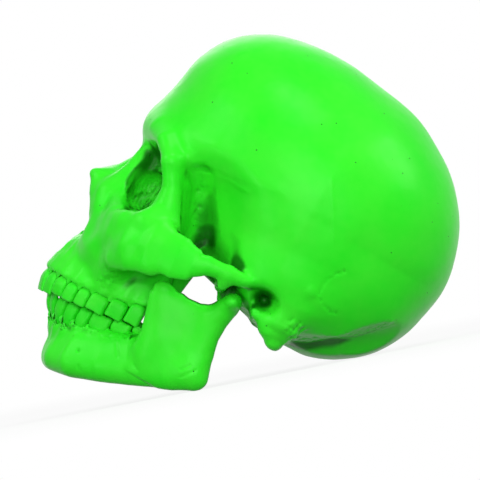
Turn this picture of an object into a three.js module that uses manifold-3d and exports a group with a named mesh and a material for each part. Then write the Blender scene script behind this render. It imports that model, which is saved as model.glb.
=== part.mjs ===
// A life-size anatomical model of a human skull, cast in resin, in millimetres.
// The skull is shaped in its anatomical frame first: x runs to its left, y to its back and z up,
// from the midpoint between the two ear openings. The whole model is then laid down as it rests
// on a table, on the two angles of the jaw and the back of the head.
import * as THREE from 'three';
import { mergeVertices } from 'three/addons/utils/BufferGeometryUtils.js';
import { edgeTable, triTable } from 'three/addons/objects/MarchingCubes.js';
import Module from 'manifold-3d';

// Driving dimensions.
const surfaceStep = 2.7;
const craniumTriangles = 6600;
const mandibleTriangles = 1800;
const fitGap = 0.4;

const vaultHalfBreadth = 70.5;
const vaultCentreY = -10;
const vaultCentreZ = 50;

const orbitHalfWidth = 19;
const orbitHalfHeight = 19;
const nasalHalfWidth = 11.5;
const foramenHalfWidth = 14.5;
const foramenHalfLength = 17;

const archOutward = 65.2;
const archHalfThickness = 2.8;

const hingeY = -12.5;
const hingeZ = -14;
const condyleX = 50.5;
const condyleHalfLength = 10;
const condyleRadius = 5;
const fossaClearance = 0.9;

const pinRadius = 1.6;
const pinFit = 0.1;
const pinInner = 33.5;
const pinOuter = 47.5;

// The lower row stands inside the upper one, and its ellipse lies further back.
const upperArch = { halfWidth: 28, depth: 51.6, backY: -53.5 };
const rowOffset = { halfWidth: 1.8, depth: 2.6, backY: 9.5 };
const lowerArch = {
  halfWidth: upperArch.halfWidth - rowOffset.halfWidth,
  depth: upperArch.depth - rowOffset.depth,
  backY: upperArch.backY + rowOffset.backY,
};
const frontOverbite = 1.6;
const biteSlant = 0.25;

// Each kind of tooth: width along the row, depth across it, number of cusps, how far the root goes
// into its socket, and the outward lean of its crown per millimetre of height in each row.
const toothKinds = {
  centralIncisor: { width: 8.2, depth: 6.6, cusps: 0, root: 6, upperLean: 0.03, lowerLean: 0.74 },
  lateralIncisor: { width: 6.5, depth: 6.0, cusps: 0, root: 6, upperLean: 0.03, lowerLean: 0.64 },
  canine: { width: 7.6, depth: 7.6, cusps: 1, root: 7, upperLean: 0.04, lowerLean: 0.38 },
  firstPremolar: { width: 7.0, depth: 8.6, cusps: 2, root: 6, upperLean: 0.03, lowerLean: 0.14 },
  secondPremolar: { width: 6.8, depth: 8.8, cusps: 2, root: 6, upperLean: 0.02, lowerLean: 0.06 },
  firstMolar: { width: 10.2, depth: 10.6, cusps: 4, root: 5.5, upperLean: 0.02, lowerLean: 0 },
  secondMolar: { width: 9.6, depth: 10.4, cusps: 4, root: 5.5, upperLean: 0.02, lowerLean: 0 },
  thirdMolar: { width: 8.6, depth: 9.6, cusps: 4, root: 5, upperLean: 0.02, lowerLean: 0 },
};
const lowerWidthShare = {
  centralIncisor: 0.52,
  lateralIncisor: 0.66,
  canine: 0.82,
  firstPremolar: 1,
  secondPremolar: 1.04,
  firstMolar: 1.07,
  secondMolar: 1.06,
  thirdMolar: 1.08,
};

// Signed fields: each function gives about the distance in millimetres from a point to a shape,
// negative inside. Every shape is made for the left side, and the right side mirrors it.
const blend = (a, b, k) => {
  const h = Math.max(k - Math.abs(a - b), 0) / k;
  return Math.min(a, b) - h * h * k / 4;
};
const carve = (a, b, k) => -blend(-a, b, k);

function egg(cx, cy, cz, rx, ry, rz) {
  const least = Math.min(rx, ry, rz);
  return (x, y, z) => {
    const px = (x - cx) / rx;
    const py = (y - cy) / ry;
    const pz = (z - cz) / rz;
    const n = Math.sqrt(px * px + py * py + pz * pz);
    if (n < 0.2) return -least;
    const g = Math.sqrt((px / rx) ** 2 + (py / ry) ** 2 + (pz / rz) ** 2);
    return n * (n - 1) / g;
  };
}

// A limb through points [x, y, z, half size in x, half size in y, half size in z].
function limb(points) {
  return (x, y, z) => {
    let best = Infinity;
    for (let i = 0; i + 1 < points.length; i++) {
      const a = points[i];
      const b = points[i + 1];
      const dx = b[0] - a[0];
      const dy = b[1] - a[1];
      const dz = b[2] - a[2];
      const along = (x - a[0]) * dx + (y - a[1]) * dy + (z - a[2]) * dz;
      const t = Math.min(1, Math.max(0, along / (dx * dx + dy * dy + dz * dz)));
      const rx = a[3] + t * (b[3] - a[3]);
      const ry = a[4] + t * (b[4] - a[4]);
      const rz = a[5] + t * (b[5] - a[5]);
      const px = (x - a[0] - t * dx) / rx;
      const py = (y - a[1] - t * dy) / ry;
      const pz = (z - a[2] - t * dz) / rz;
      const n = Math.sqrt(px * px + py * py + pz * pz);
      const d = (n - 1) * Math.min(rx, ry, rz);
      if (d < best) best = d;
    }
    return best;
  };
}

// The brain case. Its outline in the middle plane is a closed spline through these points, given
// as [y, z] from the brow over the crown to the back of the head, and forward under the brain.
// Behind the ears y is a share of headBack, and above them z is a share of crownHeight.
const headBack = 81.9;
const crownHeight = 127.4;
const vaultOutline = [
  [-100.5, 0.402], [-96.8, 0.556], [-93, 0.714], [-83, 0.848], [-68, 0.936], [-47, 0.987],
  [-24, 1], [0, 0.981], [0.293, 0.945], [0.525, 0.871], [0.733, 0.769], [0.891, 0.632],
  [0.977, 0.487], [1, 0.369], [0.977, 0.251], [0.928, 0.13], [0.806, -0.4], [0.659, -11],
  [0.488, -18], [0.293, -21.5], [0.024, -18], [-18, -11], [-34, 0], [-50, 0.094], [-66, 0.188],
  [-82, 0.251], [-94, 0.298],
].map(([y, z]) => [y > 0 ? y * headBack : y, z > 0 ? z * crownHeight : z]);
const outlineSteps = 360;

function outlineRadii(outline) {
  const points = outline.map(([y, z]) => new THREE.Vector3(0, y - vaultCentreY, z - vaultCentreZ));
  const curve = new THREE.CatmullRomCurve3(points, true, 'centripetal');
  const around = curve.getPoints(outlineSteps * 4);
  const radii = new Float64Array(outlineSteps);
  const nearest = new Float64Array(outlineSteps).fill(Infinity);
  for (const p of around) {
    const turn = (Math.atan2(p.z, p.y) / (2 * Math.PI) + 1) * outlineSteps;
    const slot = Math.round(turn) % outlineSteps;
    const miss = Math.abs(turn - Math.round(turn));
    if (miss < nearest[slot]) {
      nearest[slot] = miss;
      radii[slot] = Math.hypot(p.y, p.z);
    }
  }
  return radii;
}
const vaultRadii = outlineRadii(vaultOutline);

function vault(x, y, z) {
  const py = y - vaultCentreY;
  const pz = z - vaultCentreZ;
  const turn = (Math.atan2(pz, py) / (2 * Math.PI) + 1) * outlineSteps;
  const slot = Math.floor(turn);
  const share = turn - slot;
  const r = vaultRadii[slot % outlineSteps] * (1 - share)
    + vaultRadii[(slot + 1) % outlineSteps] * share;
  const low = Math.min(1, Math.max(0, (45 - z) / 50));
  const back = Math.min(1, Math.max(0, (y + 60) / 60));
  const power = 2.15 + 0.6 * low * back;
  const breadth = vaultHalfBreadth * (1 - 0.055 * (1 - back)) - 0.02 * Math.max(0, z - 75);
  const n = ((x / breadth) ** power + (Math.hypot(py, pz) / r) ** power) ** (1 / power);
  const reach = Math.hypot(x, py, pz);
  return n < 0.05 ? -60 : reach * (1 - 1 / n);
}

// The parts of the cranium that are joined to the brain case, with the width of each blend.
const behindOrbit = egg(24, -67, 12, 19, 26, 24);
const temporalHollow = egg(72, -57, 10, 30, 29, 38);
const archHollow = egg(50, -47, -4, 15, 13, 17);
const skullBase = egg(0, -26, 2, 24, 24, 12);
const earRegion = egg(50, 6, 8, 14.5, 28, 17);
const nuchalHollow = limb([
  [52, 50.2, -45.5, 41.5, 41.5, 41.5], [58, 70.1, -34, 41.5, 41.5, 41.5],
  [52, 91.1, -11.4, 41.5, 41.5, 41.5],
]);
const petrous = limb([[12, -16, -7, 8, 7, 6], [34, -6, -6.6, 8, 8, 6], [50, 9, -3, 9, 12, 9]]);
const clivus = limb([[0, -24, -5, 12, 6, 4.6], [0, 2, -9.8, 11, 7, 5]]);
const occipitalCondyle = limb([[9.6, 5.4, -15.8, 4.5, 5, 4], [14.5, 15, -16, 4.5, 6, 4]]);
const mastoid = limb([
  [55, 14, 0, 9, 15, 9], [54.4, 15.4, -10, 8.4, 11, 8], [53.2, 14.8, -15, 6.8, 8.8, 7],
  [52, 17, -20, 5.4, 6.2, 5.6],
]);
const mastoidFront = limb([[55.5, 5.5, -11, 4, 5.6, 5], [53.4, 10.4, -17.2, 4.4, 5, 4.2]]);
const tympanic = limb([[57, 0.6, -8, 4, 3.8, 6.8], [42, 1.8, -12, 5, 3.8, 5.8]]);
const brow = limb([
  [0, -93.4, 46, 8, 6.2, 7], [14, -93.6, 46, 7, 5.8, 5.6], [27, -92, 46, 7, 5.2, 5],
  [40, -86.5, 43, 6, 5.2, 4.8], [48.5, -78.5, 35.5, 4.6, 5.2, 5],
]);
const rimGroove = limb([
  [49, -60, 36, 5, 5, 5], [47, -55.5, 26.8, 8.5, 6.5, 8], [45, -48, 10, 10, 8, 9],
  [43, -43, -2, 10, 9, 9],
]);
const lateralRim = limb([
  [49.5, -77.5, 33, 4, 5, 5], [49.8, -70.6, 22, 3.8, 4.6, 5], [51, -66.8, 12, 4, 7, 6],
  [53, -66, 3, 4.4, 12, 6],
]);
const orbitWall = limb([[46.6, -70.5, 17, 3.6, 5, 16], [39, -56, 16, 4.4, 7, 18]]);
const lowerRim = limb([
  [51, -73, -2, 5, 6, 5], [42, -83.2, -4.8, 6.5, 5.5, 6], [30, -89.6, -4.2, 7, 5.5, 7],
  [20, -92.4, 0, 5, 4.6, 6],
]);
const cheekbone = limb([
  [38, -84.5, -10, 7, 6, 10], [49, -75.5, -10, 6, 6.4, 13], [57, -64, -8.8, 4.8, 7, 11.8],
]);
const cheekRoot = limb([
  [49, -74.5, -15, 6.5, 6, 9], [38, -77.5, -23.5, 7, 7, 8], [29, -77, -32, 6, 8, 8],
]);
const cheekBorder = limb([
  [43, -77.5, -25.6, 4, 4.4, 4.8], [51, -70, -23, 4, 5, 4.8], [58, -60, -18.8, 3.6, 5, 4.8],
]);
const zygomaticArch = limb([
  [58, -62, -8, 4, 6, 12], [archOutward - 1.6, -48.5, -8, archHalfThickness, 5, 11.6],
  [archOutward, -41, -7.4, archHalfThickness, 4, 9.2], [archOutward + 0.2, -34.6, -4, 2.9, 5, 5.6],
  [archOutward - 0.6, -27, -2.6, 3, 6, 4.4], [archOutward - 2.6, -18, -1.6, 3.4, 6, 4.2],
  [58, -2, 0.5, 5, 8, 4],
]);
const eminence = limb([[62, -22, -5, 3.8, 4, 6.6], [45, -22.4, -7.4, 6, 4, 5.6]]);
const underCheek = egg(47.5, -57.5, -34.5, 15, 13.5, 13.5);
const underBorder = limb([[50, -76, -38.6, 14, 8, 7], [50, -64, -35.6, 14, 8, 8.4]]);
const fossaWall = limb([[37, -15, -12.4, 4.2, 7, 7.4], [33, -17, -6, 6, 9, 8]]);
const maxilla = egg(20, -78, -14, 20, 21, 19);
const faceFront = egg(15, -86, -24, 17, 12.5, 15);
const noseRoot = limb([
  [0, -85, 30, 13, 8.4, 9], [0, -86.6, 14, 15, 12.6, 11], [0, -91, 4, 16, 13, 9],
]);
const frontalProcess = limb([
  [10, -92.5, 33, 4.4, 4, 5], [13.6, -93.6, 20, 5, 5.4, 6], [16, -97.6, 4, 5.2, 7.4, 7],
  [17.5, -94.8, -9, 5.4, 6, 7], [17, -92.6, -20, 6, 6.4, 7],
]);
const nasalWall = limb([
  [7, -101.6, 10.4, 4.4, 6, 5], [10.4, -100.4, 4.6, 4.4, 6.4, 6.6], [14, -97.4, -4, 5, 5.6, 7],
]);
const nasalSide = limb([
  [6.8, -108, 8, 3, 4.4, 3.6], [10.4, -104.2, 1, 3, 4.2, 5], [13, -99.8, -7, 3, 3.4, 5],
]);
const nasalBones = limb([
  [0, -91, 34.6, 6, 5, 6], [0, -91.6, 27.4, 5.6, 4.8, 5], [0, -98, 16.8, 6.4, 5.2, 5],
  [0, -108.4, 9.4, 7.2, 5, 3.2],
]);
const nasalSpine = limb([[0, -94, -22.6, 3, 4, 3], [0, -98.6, -21.8, 1.8, 2.6, 1.8]]);
const pterygoid = limb([
  [15, -44, -8, 5, 7, 6], [17, -46, -24, 3.6, 7, 7], [18.5, -45, -34, 3.4, 6, 5],
]);
const septum = limb([[0, -93, -6, 1.7, 5, 14], [0, -64, -6, 1.7, 5, 14]]);

const orbitHollow = limb([
  [46, -104, 17, orbitHalfWidth + 6, 12, orbitHalfHeight + 1],
  [33.5, -86, 18.5, orbitHalfWidth + 0.6, 9, orbitHalfHeight],
  [27.5, -72, 19.5, orbitHalfWidth - 4.6, 9, orbitHalfHeight - 4],
  [20, -58, 20.5, 9, 8, 9], [15, -49, 21, 4.5, 5, 4.5],
]);
const orbitPocket = limb([[18.5, -82.4, 9, 8.4, 8.2, 7], [17, -80.5, 18, 7.4, 8.4, 8]]);
const nasalHollowLow = limb([
  [0, -130, -9.5, nasalHalfWidth, 9, 10.5], [0, -92, -9.5, nasalHalfWidth, 9, 10.5],
  [0, -64, -9, nasalHalfWidth - 1.5, 8, 10],
]);
const nasalHollowHigh = limb([
  [0, -130, -1.6, 6.2, 9, 6.6], [0, -100, 1.2, 6.4, 9, 6.8], [0, -72, 5, 6.4, 8, 8],
]);
const palateHollow = egg(0, -68, -48, 19.5, 28, 17);
const canineHollow = egg(30, -106, -18, 8, 10, 9);
const earBowl = limb([[62, 3, -5.2, 9, 10.5, 6], [71, 3, -14, 9, 10.5, 7]]);
const earCanal = limb([[62, 2.4, -5.2, 6, 6, 4.6], [46, 1.8, -4.4, 2.4, 2.6, 2.6]]);
const foramen = limb([
  [0, 19, -44, foramenHalfWidth, foramenHalfLength, 12],
  [0, 18, -4, foramenHalfWidth, foramenHalfLength, 12],
]);
const fossaHollow = egg(
  condyleX, hingeY, hingeZ,
  condyleHalfLength + fossaClearance, condyleRadius + fossaClearance, condyleRadius + fossaClearance,
);
const fossaMouth = limb([
  [condyleX + 2, hingeY - 0.5, hingeZ - 3, condyleHalfLength + 3, 7.5, 6],
  [condyleX + 2, hingeY - 1, hingeZ - 16, condyleHalfLength + 4, 9, 8],
]);
const digastricNotch = limb([[45.5, 14, -24, 2.6, 7, 6], [45.5, 27, -19, 3, 8, 6]]);

// The lines that the rows of teeth follow: half an ellipse, open at the back.
const archPoint = (arch, angle) => [
  arch.halfWidth * Math.sin(angle),
  arch.backY - arch.depth * Math.cos(angle),
];
const biteHeight = (y) => {
  const s = y + 101.5;
  return -58.6 + 0.12 * s + 0.00105 * s * s;
};
const upperGum = (y) => -48.4 + 0.0048 * (y + 95) ** 2;
const lowerGum = (y) => -68 + 0.0052 * Math.max(0, y + 98) ** 2;

// A ridge along a row of teeth. Its inset and thickness go from the front value to the back one.
function alveolarRidge(arch, gum, lift, halfHeight, thickness, inset) {
  const points = [];
  for (const angle of [0, 0.28, 0.56, 0.84, 1.12, 1.4, 1.62]) {
    const [x, y] = archPoint(arch, angle);
    const out = new THREE.Vector2(x / arch.halfWidth ** 2, (y - arch.backY) / arch.depth ** 2);
    out.normalize();
    const front = Math.cos(Math.min(angle, Math.PI / 2)) ** 2;
    const half = thickness.back + (thickness.front - thickness.back) * front;
    const inward = inset.back + (inset.front - inset.back) * front;
    points.push([x - inward * out.x, y - inward * out.y, gum(y) + lift, half, half, halfHeight]);
  }
  return limb(points);
}
const upperLip = alveolarRidge(
  upperArch, upperGum, 2.6, 2.8, { front: 3.8, back: 5.2 }, { front: 0.2, back: 0 },
);
const upperSwell = alveolarRidge(
  upperArch, upperGum, 6.4, 5.6, { front: 4.3, back: 5.6 }, { front: 1.4, back: 0 },
);
const upperRidge = alveolarRidge(
  upperArch, upperGum, 14, 11, { front: 5, back: 5.6 }, { front: 5.2, back: 1.5 },
);
const lowerLip = alveolarRidge(
  lowerArch, lowerGum, -4.4, 4.6, { front: 3.4, back: 5.6 }, { front: 4.2, back: 0 },
);
const lowerRidge = alveolarRidge(
  lowerArch, lowerGum, -9, 8, { front: 3.4, back: 5.2 }, { front: 7.8, back: 0 },
);

function cranium(x, y, z) {
  x = Math.abs(x);
  let f = vault(x, y, z);
  f = blend(f, behindOrbit(x, y, z), 8);
  f = carve(f, temporalHollow(x, y, z), 12);
  f = carve(f, archHollow(x, y, z), 6);
  f = blend(f, earRegion(x, y, z), 12);
  f = blend(f, skullBase(x, y, z), 8);
  f = carve(f, nuchalHollow(x, y, z), 1.2);
  f = blend(f, petrous(x, y, z), 5);
  f = blend(f, clivus(x, y, z), 4);
  f = blend(f, mastoid(x, y, z), 5);
  f = blend(f, mastoidFront(x, y, z), 3);
  f = blend(f, tympanic(x, y, z), 3);
  f = blend(f, occipitalCondyle(x, y, z), 2.5);
  f = blend(f, fossaWall(x, y, z), 3);
  f = blend(f, pterygoid(x, y, z), 4);
  f = blend(f, maxilla(x, y, z), 6);
  f = blend(f, faceFront(x, y, z), 6);
  f = blend(f, upperRidge(x, y, z), 6);
  f = blend(f, upperSwell(x, y, z), 5);
  f = blend(f, upperLip(x, y, z), 3);
  f = blend(f, noseRoot(x, y, z), 6);
  f = blend(f, brow(x, y, z), 10);
  f = blend(f, cheekbone(x, y, z), 6);
  f = blend(f, cheekRoot(x, y, z), 5);
  f = blend(f, cheekBorder(x, y, z), 4);
  f = blend(f, lowerRim(x, y, z), 4);
  f = blend(f, orbitWall(x, y, z), 5);
  f = blend(f, lateralRim(x, y, z), 4);
  f = carve(f, rimGroove(x, y, z), 4);
  f = blend(f, frontalProcess(x, y, z), 4);
  f = blend(f, nasalWall(x, y, z), 5);
  f = blend(f, nasalSide(x, y, z), 3);
  f = blend(f, nasalBones(x, y, z), 4);
  f = blend(f, zygomaticArch(x, y, z), 3);
  f = blend(f, eminence(x, y, z), 3);
  f = carve(f, underCheek(x, y, z), 2);
  f = carve(f, underBorder(x, y, z), 1.5);
  f = carve(f, orbitHollow(x, y, z), 2.5);
  f = carve(f, orbitPocket(x, y, z), 1.6);
  f = carve(f, nasalHollowLow(x, y, z), 1.5);
  f = carve(f, nasalHollowHigh(x, y, z), 1.5);
  f = blend(f, septum(x, y, z), 1);
  f = blend(f, nasalSpine(x, y, z), 2);
  f = carve(f, canineHollow(x, y, z), 6);
  f = carve(f, palateHollow(x, y, z), 4);
  f = carve(f, foramen(x, y, z), 2.5);
  f = carve(f, earBowl(x, y, z), 2);
  f = carve(f, earCanal(x, y, z), 3);
  f = carve(f, digastricNotch(x, y, z), 2);
  f = carve(f, fossaMouth(x, y, z), 2.5);
  return carve(f, fossaHollow(x, y, z), 1);
}

// The parts of the lower jaw.
const jawBase = limb([
  [0, -80.4, -86.8, 9, 6.6, 7.6], [11, -79, -86.6, 8, 7, 7.4], [22, -70, -85, 6.4, 8, 7.2],
  [30, -55, -79, 5.6, 8, 7.4], [38, -38, -71, 5.2, 8, 7.8], [44.5, -21, -63.4, 4.8, 8, 7.2],
  [47.4, -13, -58.8, 4.6, 8.6, 6.8],
]);
const jawBody = limb([
  [0, -81.2, -78, 8, 4.6, 8], [11, -79.8, -78, 7, 4.8, 8], [22, -72.4, -76.5, 5.6, 6, 9],
  [29, -57, -70.5, 5.8, 7, 9.6], [36, -42, -62, 5.4, 7, 10], [43, -32, -54, 4.4, 8, 10],
]);
const ramusBack = limb([
  [49.6, -13.6, -19, 5.4, 6, 4.6], [48.6, -15.2, -27, 4, 6.4, 6], [48, -15, -36, 3.8, 6, 7],
  [47.4, -14, -46, 4, 7.4, 8], [47.2, -13.4, -57, 4.4, 8, 6.8],
]);
const ramusFront = limb([
  [44.4, -48, -26.6, 2.4, 5.4, 4.4], [44.6, -46.6, -31, 2.8, 6.8, 6], [44.4, -42.4, -40, 3.3, 7, 7],
  [43.6, -38.8, -48, 4.2, 7, 8], [41, -38, -57, 5, 8, 8],
]);
const ramusPlate = limb([[46, -35, -43, 3.4, 9.5, 19], [47, -25, -42, 3.4, 9, 19]]);
const jawAngle = limb([[47.4, -14, -57, 3.6, 8, 6], [48, -9.4, -59.8, 3, 4.6, 4.2]]);
const condyleHead = egg(
  condyleX, hingeY, hingeZ, condyleHalfLength, condyleRadius, condyleRadius,
);

function mandible(x, y, z) {
  x = Math.abs(x);
  let f = blend(jawBase(x, y, z), jawBody(x, y, z), 5);
  f = blend(f, lowerRidge(x, y, z), 5);
  f = blend(f, lowerLip(x, y, z), 3);
  f = blend(f, ramusPlate(x, y, z), 6);
  f = blend(f, ramusFront(x, y, z), 4);
  f = blend(f, ramusBack(x, y, z), 4);
  f = blend(f, jawAngle(x, y, z), 2);
  return blend(f, condyleHead(x, y, z), 1.6);
}

// The box that a field's shape lies in, found on a coarse lattice, with a step to spare all round.
const searchStep = 2 * surfaceStep;
const searchReach = 2.2 * vaultHalfBreadth;
function boxOf(field) {
  const box = new THREE.Box3();
  const p = new THREE.Vector3();
  for (p.x = 0; p.x < searchReach; p.x += searchStep) {
    for (p.y = -searchReach; p.y < searchReach; p.y += searchStep) {
      for (p.z = -searchReach; p.z < searchReach; p.z += searchStep) {
        if (field(p.x, p.y, p.z) < searchStep) box.expandByPoint(p);
      }
    }
  }
  return box.expandByScalar(surfaceStep);
}

// The surface where a field is zero, as triangles with shared vertices.
function polygonise(field) {
  const box = boxOf(field);
  const half = Math.ceil(box.max.x / surfaceStep);
  const nx = 2 * half + 1;
  const ny = Math.ceil((box.max.y - box.min.y) / surfaceStep) + 1;
  const nz = Math.ceil((box.max.z - box.min.z) / surfaceStep) + 1;
  const at = (i, j, k) => (k * ny + j) * nx + i;
  const gridX = (i) => (i - half) * surfaceStep;
  const gridY = (j) => box.min.y + j * surfaceStep;
  const gridZ = (k) => box.min.z + k * surfaceStep;
  const values = new Float64Array(nx * ny * nz);
  for (let k = 0; k < nz; k++) {
    for (let j = 0; j < ny; j++) {
      for (let i = 0; i <= half; i++) {
        const f = field(gridX(i), gridY(j), gridZ(k));
        const value = Math.abs(f) < 1e-4 ? 1e-4 : f;
        values[at(i, j, k)] = value;
        values[at(nx - 1 - i, j, k)] = value;
      }
    }
  }
  const corners = [
    [0, 0, 0], [1, 0, 0], [1, 1, 0], [0, 1, 0], [0, 0, 1], [1, 0, 1], [1, 1, 1], [0, 1, 1],
  ];
  const edges = [
    [0, 1], [1, 2], [2, 3], [3, 0], [4, 5], [5, 6], [6, 7], [7, 4], [0, 4], [1, 5], [2, 6], [3, 7],
  ];
  const vertexOf = new Map();
  const positions = [];
  const index = [];
  const crossing = (i, j, k, edge) => {
    const a = corners[edges[edge][0]];
    const b = corners[edges[edge][1]];
    const from = at(i + a[0], j + a[1], k + a[2]);
    const to = at(i + b[0], j + b[1], k + b[2]);
    const key = Math.min(from, to) * 4 + (a[0] !== b[0] ? 0 : a[1] !== b[1] ? 1 : 2);
    if (!vertexOf.has(key)) {
      const t = values[from] / (values[from] - values[to]);
      vertexOf.set(key, positions.length / 3);
      positions.push(
        gridX(i + a[0] + t * (b[0] - a[0])),
        gridY(j + a[1] + t * (b[1] - a[1])),
        gridZ(k + a[2] + t * (b[2] - a[2])),
      );
    }
    return vertexOf.get(key);
  };
  for (let k = 0; k + 1 < nz; k++) {
    for (let j = 0; j + 1 < ny; j++) {
      for (let i = 0; i + 1 < nx; i++) {
        let pattern = 0;
        for (let c = 0; c < 8; c++) {
          const [a, b, d] = corners[c];
          if (values[at(i + a, j + b, k + d)] < 0) pattern |= 1 << c;
        }
        if (edgeTable[pattern] === 0) continue;
        for (let t = pattern * 16; triTable[t] !== -1; t += 3) {
          const a = crossing(i, j, k, triTable[t]);
          const b = crossing(i, j, k, triTable[t + 1]);
          const c = crossing(i, j, k, triTable[t + 2]);
          index.push(a, c, b);
        }
      }
    }
  }
  return { positions: Float64Array.from(positions), index: Uint32Array.from(index) };
}

// Fewer triangles for the same surface: edges close up in the order of the least error, which is
// the sum of the squared distances to the planes that met there. A long edge costs a little more,
// and no triangle turns further than its normal's least agreement allows.
const longEdgeCost = 2e-4;
const leastAgreement = 0.35;
function simplify(surface, wanted) {
  const { positions, index } = surface;
  const vertexCount = positions.length / 3;
  const faceCount = index.length / 3;
  const quadrics = new Float64Array(vertexCount * 10);
  const around = Array.from({ length: vertexCount }, () => new Set());
  const removed = new Uint8Array(faceCount);
  const version = new Int32Array(vertexCount);
  const a = new THREE.Vector3();
  const b = new THREE.Vector3();
  const c = new THREE.Vector3();
  const read = (target, v) => target.fromArray(positions, v * 3);
  const normalOf = (p, q, r) => {
    const ux = q.x - p.x;
    const uy = q.y - p.y;
    const uz = q.z - p.z;
    const vx = r.x - p.x;
    const vy = r.y - p.y;
    const vz = r.z - p.z;
    return [uy * vz - uz * vy, uz * vx - ux * vz, ux * vy - uy * vx];
  };
  for (let f = 0; f < faceCount; f++) {
    const n = normalOf(read(a, index[f * 3]), read(b, index[f * 3 + 1]), read(c, index[f * 3 + 2]));
    const area = Math.hypot(...n) || 1e-12;
    const [x, y, z] = n.map((value) => value / area);
    const d = -(x * a.x + y * a.y + z * a.z);
    const plane = [x * x, x * y, x * z, x * d, y * y, y * z, y * d, z * z, z * d, d * d];
    for (let corner = 0; corner < 3; corner++) {
      const v = index[f * 3 + corner];
      around[v].add(f);
      for (let m = 0; m < 10; m++) quadrics[v * 10 + m] += plane[m] * (area + 0.02);
    }
  }
  const errorAt = (q, x, y, z) => q[0] * x * x + 2 * q[1] * x * y + 2 * q[2] * x * z + 2 * q[3] * x
    + q[4] * y * y + 2 * q[5] * y * z + 2 * q[6] * y + q[7] * z * z + 2 * q[8] * z + q[9];
  const bestPoint = (u, v) => {
    const q = new Float64Array(10);
    for (let m = 0; m < 10; m++) q[m] = quadrics[u * 10 + m] + quadrics[v * 10 + m];
    const ux = positions[u * 3];
    const uy = positions[u * 3 + 1];
    const uz = positions[u * 3 + 2];
    const vx = positions[v * 3];
    const vy = positions[v * 3 + 1];
    const vz = positions[v * 3 + 2];
    const span = Math.hypot(ux - vx, uy - vy, uz - vz);
    const mx = (ux + vx) / 2;
    const my = (uy + vy) / 2;
    const mz = (uz + vz) / 2;
    // The middle of the edge is drawn in weakly, so that flat places keep even triangles.
    const w = 1e-3 * (q[0] + q[4] + q[7]);
    const s = new THREE.Matrix3().set(
      q[0] + w, q[1], q[2], q[1], q[4] + w, q[5], q[2], q[5], q[7] + w,
    ).invert();
    const at = new THREE.Vector3(w * mx - q[3], w * my - q[6], w * mz - q[8]).applyMatrix3(s);
    if (Math.hypot(at.x - mx, at.y - my, at.z - mz) > span) at.set(mx, my, mz);
    const cost = Math.max(0, errorAt(q, at.x, at.y, at.z)) + longEdgeCost * span ** 3;
    return { cost, at: [at.x, at.y, at.z] };
  };
  const heap = [];
  const push = (entry) => {
    let i = heap.length;
    heap.push(entry);
    while (i > 0) {
      const parent = (i - 1) >> 1;
      if (heap[parent].cost <= entry.cost) break;
      heap[i] = heap[parent];
      i = parent;
    }
    heap[i] = entry;
  };
  const pop = () => {
    const top = heap[0];
    const last = heap.pop();
    const size = heap.length;
    if (size === 0) return top;
    let i = 0;
    for (;;) {
      let child = 2 * i + 1;
      if (child >= size) break;
      if (child + 1 < size && heap[child + 1].cost < heap[child].cost) child++;
      if (heap[child].cost >= last.cost) break;
      heap[i] = heap[child];
      i = child;
    }
    heap[i] = last;
    return top;
  };
  const offer = (u, v) => {
    const { cost, at } = bestPoint(u, v);
    push({ cost, at, u, v, stamp: version[u] + version[v] });
  };
  const neighbours = (v) => {
    const found = new Set();
    for (const f of around[v]) {
      for (let corner = 0; corner < 3; corner++) found.add(index[f * 3 + corner]);
    }
    found.delete(v);
    return found;
  };
  for (let f = 0; f < faceCount; f++) {
    for (let corner = 0; corner < 3; corner++) {
      const u = index[f * 3 + corner];
      const v = index[f * 3 + (corner + 1) % 3];
      if (u < v) offer(u, v);
    }
  }
  const target = new THREE.Vector3();
  const turnsOver = (v, other) => {
    for (const f of around[v]) {
      const ids = [index[f * 3], index[f * 3 + 1], index[f * 3 + 2]];
      if (ids.includes(other)) continue;
      const before = normalOf(read(a, ids[0]), read(b, ids[1]), read(c, ids[2]));
      const [p, q, r] = ids.map((id) => (id === v ? target : read(new THREE.Vector3(), id)));
      const after = normalOf(p, q, r);
      const dot = before[0] * after[0] + before[1] * after[1] + before[2] * after[2];
      if (dot < leastAgreement * Math.hypot(...before) * Math.hypot(...after)) return true;
    }
    return false;
  };
  let left = faceCount;
  while (left > wanted && heap.length > 0) {
    const { u, v, at, stamp } = pop();
    if (version[u] < 0 || version[v] < 0 || stamp !== version[u] + version[v]) continue;
    const beside = neighbours(v);
    let shared = 0;
    for (const n of neighbours(u)) if (beside.has(n)) shared++;
    if (shared !== 2) continue;
    target.set(...at);
    if (turnsOver(u, v) || turnsOver(v, u)) continue;
    positions.set(at, u * 3);
    for (let m = 0; m < 10; m++) quadrics[u * 10 + m] += quadrics[v * 10 + m];
    for (const f of around[v]) {
      const ids = [index[f * 3], index[f * 3 + 1], index[f * 3 + 2]];
      if (ids.includes(u)) {
        for (const id of ids) around[id].delete(f);
        removed[f] = 1;
        left--;
      } else {
        index[f * 3 + ids.indexOf(v)] = u;
        around[u].add(f);
      }
    }
    around[v].clear();
    version[v] = -1e9;
    version[u] += 1;
    for (const n of neighbours(u)) {
      version[n] += 1;
    }
    for (const n of neighbours(u)) {
      for (const m of neighbours(n)) {
        if (n < m || !neighbours(u).has(m)) offer(n, m);
      }
    }
  }
  const kept = [];
  for (let f = 0; f < faceCount; f++) {
    if (!removed[f]) kept.push(index[f * 3], index[f * 3 + 1], index[f * 3 + 2]);
  }
  const geometry = new THREE.BufferGeometry();
  geometry.setAttribute('position', new THREE.Float32BufferAttribute(positions, 3));
  geometry.setIndex(kept);
  return mergeVertices(geometry.toNonIndexed(), 1e-4);
}

// Joins and cuts.
const wasm = await Module();
wasm.setup();

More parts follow.
